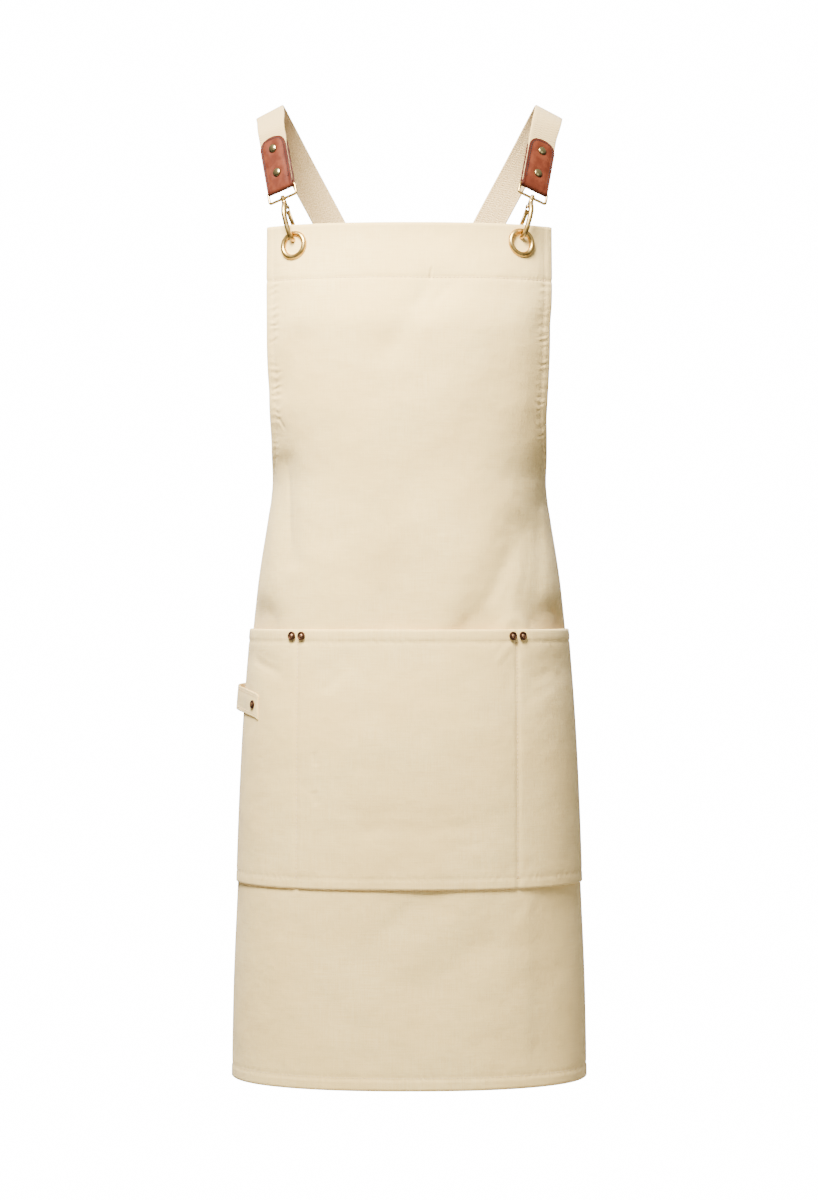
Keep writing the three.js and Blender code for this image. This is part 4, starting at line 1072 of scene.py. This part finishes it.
def bevelled_block(name, middle, sizes, bevel):
    """A block with softened edges"""
    bpy.ops.object.select_all(action="DESELECT")
    bpy.ops.mesh.primitive_cube_add(size=1, location=(0, 0, 0))
    part = bpy.context.object
    part.name = name
    bpy.ops.object.mode_set(mode="EDIT")
    bpy.ops.transform.resize(value=sizes)
    bpy.ops.transform.translate(value=middle)
    bpy.ops.mesh.bevel(offset=bevel, segments=3, affect="EDGES")
    bpy.ops.object.mode_set(mode="OBJECT")
    bpy.ops.object.shade_smooth_by_angle(angle=math.radians(40))
    return part


def joined(parts, name):
    """Several parts as one piece"""
    bpy.ops.object.select_all(action="DESELECT")
    for part in parts:
        part.select_set(True)
    bpy.context.view_layer.objects.active = parts[0]
    bpy.ops.object.join()
    parts[0].name = name
    return parts[0]


def laid_across(part, x, y, z):
    """Turns a part from about Z to about X, round a point"""
    part.data.transform(Matrix.Translation((x, y, z)) @ Matrix.Rotation(math.pi / 2, 4, "Y"))
    return part


def barrel(name, radius, low, high, soft):
    """A short round bar along Z with softened ends"""
    profile = [(0, low), (radius - soft, low), (radius, low + soft), (radius, high - soft),
               (radius - soft, high), (0, high)]
    return turned(name, profile, 28)


half_wide = (loop_width - loop_wire) / 2
bend = 0.0022
ring_points = []
for corner_x, corner_z, start in ((half_wide - bend, -bend, 90), (half_wide - bend, bend - loop_drop, 0),
                                  (bend - half_wide, bend - loop_drop, -90), (bend - half_wide, -bend, -180)):
    for step in range(7):
        turn = math.radians(start - step * 15)
        ring_points.append((corner_x + bend * math.cos(turn), 0, corner_z + bend * math.sin(turn)))
for side_name, side in sides.items():
    place, across, out, up = tab_frame(side)
    hook_place, hook_across, hook_out, hook_up, hook_length = hook_frame(side)
    ring = wire_part("ring", ring_points, [loop_wire / 2] * len(ring_points), True)
    settle(ring, frame_matrix(place, across, out, up), side_name)
    boss = turned("boss", [(0.0017, -boss_height / 2), (boss_radius - 0.0004, -boss_height / 2),
                           (boss_radius, -boss_height / 2 + 0.0004), (boss_radius, boss_height / 2 - 0.0004),
                           (boss_radius - 0.0004, boss_height / 2), (0.0017, boss_height / 2)], 28)
    settle(boss, along_axis(hook_place, hook_up), side_name)
    loop = joined([ring, boss], f"wire_ring_{side_name}")
    loop.data.materials.append(gold_paint)
    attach(loop, "root")
    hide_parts(f"wire_loop_{side_name}")

# Snap hooks: a cast pale gold hook on a swivel, its nose through the eyelet, and a sprung gate on
# a cross pin that closes its mouth behind the cloth.
for side_name, side in sides.items():
    place, across, out, up, length = hook_frame(side)
    into_place = frame_matrix(place, across, out, up)
    bends = [(0, 0, -hook_neck * 0.55), (0, hook_half * 0.45, -hook_neck), (0, hook_half * 0.8, -hook_neck * 1.6),
             (0, hook_half, -length + hook_catch * 1.15), (0, hook_half * 0.82, -length + hook_catch * 0.42),
             (0, 0, -length), (0, -hook_half * 0.82, -length + hook_catch * 0.42),
             (0, -hook_half, -length + hook_catch)]
    line, shares = route_points(bends, 12)
    radii = hook_wire / 2 * 1.1 * np.interp(shares, [0, 1, 3, 5, 6.4, 6.85, 7], [1.3, 1.28, 1.12, 1.02, 0.92, 0.78, 0.45])
    body = wire_part("body", line, radii)
    collar_profile = [(0, -hook_neck * 0.75), (0.0021, -hook_neck * 0.75), (0.0026, -hook_neck * 0.62),
                      (0.0026, -0.0026), (0.0022, -0.002), (0.0013, -0.002), (0.0013, 0.0021), (0.0021, 0.0021),
                      (0.0021, 0.0027), (0.0015, 0.0034), (0, 0.0036)]
    collar = turned("collar", collar_profile, 28)
    lug = bevelled_block("lug", (0, gate_pivot[0] + 0.0011, gate_pivot[1] + 0.001), (0.0018, 0.0046, 0.0044), 0.0004)
    pin = laid_across(barrel("pin", 0.0008, -0.0024, 0.0024, 0.0002), 0, *gate_pivot)
    hook = joined([body, collar, lug, pin], f"hook_{side_name}")
    settle(hook, into_place, side_name)
    hook.data.materials.append(gold_paint)
    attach(hook, "root")
    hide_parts(f"snap_hook_{side_name}")

    cheeks = [laid_across(barrel("cheek", 0.0023, way * 0.00175 - 0.00055, way * 0.00175 + 0.00055, 0.0002),
                          0, *gate_pivot) for way in (-1, 1)]
    top, foot = gate_pivot[1] - 0.0032, -length + hook_catch - 0.002
    foot_y = -hook_half + hook_wire / 2 + 0.0006 + 0.0008
    blade = bevelled_block("blade", (0, 0, 0), (0.0044, 0.0016, 1), 0.0003)
    for vertex in blade.data.vertices:
        is_top = vertex.co.z > 0
        vertex.co.y += gate_pivot[0] - 0.0004 if is_top else foot_y
        vertex.co.z = top if is_top else foot
        vertex.co.x *= 1 if is_top else 0.8
    arms = [bevelled_block("arm", (way * 0.00175, gate_pivot[0] - 0.0004, top + 0.0008), (0.0009, 0.0014, 0.0026),
                           0.0002) for way in (-1, 1)]
    gate = joined([blade, *cheeks, *arms], f"gate_{side_name}")
    settle(gate, into_place, side_name)
    gate.data.materials.append(gold_paint)
    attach(gate, f"gate_{side_name}")
    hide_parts(f"hook_gate_{side_name}")


# Stitches: single rows of cream thread along the hems, the facing, the pocket's mouth, seams and
# foot, the side loop and the strap ends, and of dark brown thread round the leather tabs.
stitch_pitch = 0.0040
stitch_thread = 0.00042


def stitches(name, runs, pitch, thick, lift):
    """One piece with a stitch for each pitch along runs of points with their outward directions"""
    bpy.ops.object.select_all(action="DESELECT")
    bpy.ops.mesh.primitive_uv_sphere_add(segments=6, ring_count=4, radius=1)
    pattern = bpy.context.object
    shape = np.array([tuple(vertex.co) for vertex in pattern.data.vertices])
    faces = [list(face.vertices) for face in pattern.data.polygons]
    bpy.data.objects.remove(pattern)
    points, polygons = [], []
    for places, outs in runs:
        lengths = np.concatenate([[0], np.cumsum(np.linalg.norm(np.diff(places, axis=0), axis=1))])
        count = max(int(lengths[-1] / pitch), 1)
        spots = (np.arange(count) + 0.5) * lengths[-1] / count
        middle = np.stack([np.interp(spots, lengths, places[:, axis]) for axis in range(3)], axis=-1)
        out = unit(np.stack([np.interp(spots, lengths, outs[:, axis]) for axis in range(3)], axis=-1))
        way = np.gradient(places, axis=0)
        way = np.stack([np.interp(spots, lengths, way[:, axis]) for axis in range(3)], axis=-1)
        way = unit(way - out * (way * out).sum(axis=1, keepdims=True))
        side_way = np.cross(way, out)
        sizes = shape * np.array([thick, thick, pitch * 0.39])
        made = middle[:, None] + out[:, None] * (sizes[None, :, :1] + lift) + side_way[:, None] * sizes[None, :, 1:2]
        made = made + way[:, None] * sizes[None, :, 2:]
        for one in made:
            polygons += [[corner + len(points) for corner in face] for face in faces]
            points += one.tolist()
    mesh = bpy.data.meshes.new(name)
    mesh.from_pydata(points, [], polygons)
    mesh.polygons.foreach_set("use_smooth", np.ones(len(polygons), dtype=bool))
    piece = bpy.data.objects.new(name, mesh)
    bpy.context.scene.collection.objects.link(piece)
    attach(piece, "root")
    return piece


def thread_finish(name, colour):
    """Twisted sewing thread"""
    finish = Finish(name, Roughness=0.8)
    place = finish.node("TexCoord", {}, {}, "Object")
    twist = finish.noise(place, 2500, 1)
    dark = tuple(value * 0.8 for value in colour[:3]) + (1.0,)
    finish.into("Base Color", finish.blend(twist, dark, colour))
    finish.relief(twist, 0.0001)
    return finish.material


def line_on(surface, arcs, drops):
    """A line of places on a surface, an arc and a drop for each"""
    drops = np.broadcast_to(drops, np.broadcast(arcs, drops).shape)
    arcs = np.broadcast_to(arcs, drops.shape)
    places, outs = facing_out(surface, np.array(arcs)[:, None], np.array(drops))
    return places[:, 0], outs[:, 0]


def across_line(surface, half, drop, inset):
    """A level line of stitches at a drop, from side to side of a panel"""
    arcs = np.linspace(-half + inset, half - inset, 240)[None, :]
    places, outs = facing_out(surface, arcs, np.array([drop]))
    return places[0], outs[0]


down_line = np.linspace(0.001, apron_length - 0.002, 320)
hem_runs = [line_on(cloth_surface, way * (cloth_half(down_line) - side_hem), down_line) for way in (-1, 1)]
hem_runs.append(across_line(cloth_surface, float(cloth_half(facing)), facing, 0.012))
hem_foot = apron_length - bottom_hem
hem_runs.append(across_line(cloth_surface, float(cloth_half(hem_foot)), hem_foot, 0.001))
strap_corner = 0.42 * apron_length
box_middle = float(cloth_half(strap_corner)) - strap_inset + 0.006, strap_corner + 0.015
lean = math.atan(strap_spread)
for way in (-1, 1):
    corners = [(-0.012, -0.012), (0.012, -0.012), (0.012, 0.012), (-0.012, 0.012), (-0.012, -0.012),
               (0.012, 0.012), (0.012, -0.012), (-0.012, 0.012)]
    turned_corners = [(x * math.cos(lean) + y * math.sin(lean), y * math.cos(lean) - x * math.sin(lean))
                      for x, y in corners]
    for (x0, y0), (x1, y1) in zip(turned_corners, turned_corners[1:]):
        share = np.linspace(0, 1, 12)
        hem_runs.append(line_on(cloth_surface, way * (box_middle[0] + x0 + (x1 - x0) * share),
                                box_middle[1] + y0 + (y1 - y0) * share))
pocket_line = np.linspace(pocket_drop + pocket_hem, pocket_foot - 0.0105, 120)
pocket_runs = [line_on(pocket_surface, seam, pocket_line) for seam in (-divider_left, divider_right)]
for drop in (pocket_drop + pocket_hem, pocket_foot - 0.0105):
    pocket_runs.append(across_line(pocket_surface, float(cloth_half(drop)) - pocket_inset, drop, 0.002))
edge_line = np.linspace(pocket_drop + 0.002, pocket_foot - 0.003, 120)
for way in (-1, 1):
    pocket_runs.append(line_on(pocket_surface, way * (cloth_half(edge_line) - pocket_inset - 0.003), edge_line))
cotton_thread = thread_finish("cotton_thread", ink(236, 200, 146))
for name, runs, lift, material_slot in (("cloth_stitches", hem_runs, -0.0006, "canvas"),
                                        ("pocket_stitches", pocket_runs, -0.0006, "canvas")):
    row = stitches(name, runs, stitch_pitch, stitch_thread, lift)
    row.data.materials.append(cotton_thread)

strip_rows = []
for wide in (-0.5 + 0.003 / side_loop_width, 0.5 - 0.003 / side_loop_width):
    places = side_loop_surface(np.linspace(0.01, 0.99, 60)[None, :], np.full((1, 60), wide))[0]
    strip_rows.append((places, facing_out(pocket_surface, -(side_loop_start + (side_loop_end - side_loop_start)
                       * np.linspace(0.01, 0.99, 60))[None, :], np.array([side_loop_drop]))[1][0]))
strip_stitches = stitches("strip_stitches", strip_rows, 0.003, 0.00035, -0.0002)
strip_stitches.data.materials.append(cotton_thread)

brown_thread = thread_finish("brown_thread", ink(30, 14, 10))
inset = 0.0024
for side_name, side in sides.items():
    place, across, out, up = tab_frame(side)
    half = leather_width / 2 - inset
    top = leather_length - inset
    round_off = leather_corner - inset
    outline = [(-half, 0.009)]
    for middle_x, start in ((-half + round_off, 180), (half - round_off, 90)):
        for step in range(9):
            turn = math.radians(start - step * 11.25)
            outline.append((middle_x + round_off * math.cos(turn), top - round_off + round_off * math.sin(turn)))
    outline += [(half, 0.009), (-half, 0.009)]
    matrix = mirror_x @ frame_matrix(place, across, out, up) if side_name == "right" else \
        frame_matrix(place, across, out, up)
    runs = []
    for face in (1, -1):
        for (x0, z0), (x1, z1) in zip(outline, outline[1:]):
            steps = max(int(math.hypot(x1 - x0, z1 - z0) / 0.001), 2)
            share = np.linspace(0, 1, steps)
            places = [matrix @ Vector((x0 + (x1 - x0) * t, face * (tab_inside + leather), z0 + (z1 - z0) * t))
                      for t in share]
            runs.append((np.array(places), np.repeat([matrix.to_3x3() @ Vector((0, face, 0))], steps, axis=0)))
    joined_runs = [(np.concatenate([run[0][:-1] for run in runs[start:start + len(outline) - 1]]),
                    np.concatenate([run[1][:-1] for run in runs[start:start + len(outline) - 1]]))
                   for start in (0, len(outline) - 1)]
    row = stitches(f"tab_stitches_{side_name}", joined_runs, 0.0027, 0.0005, 0.0)
    row.data.materials.append(brown_thread)
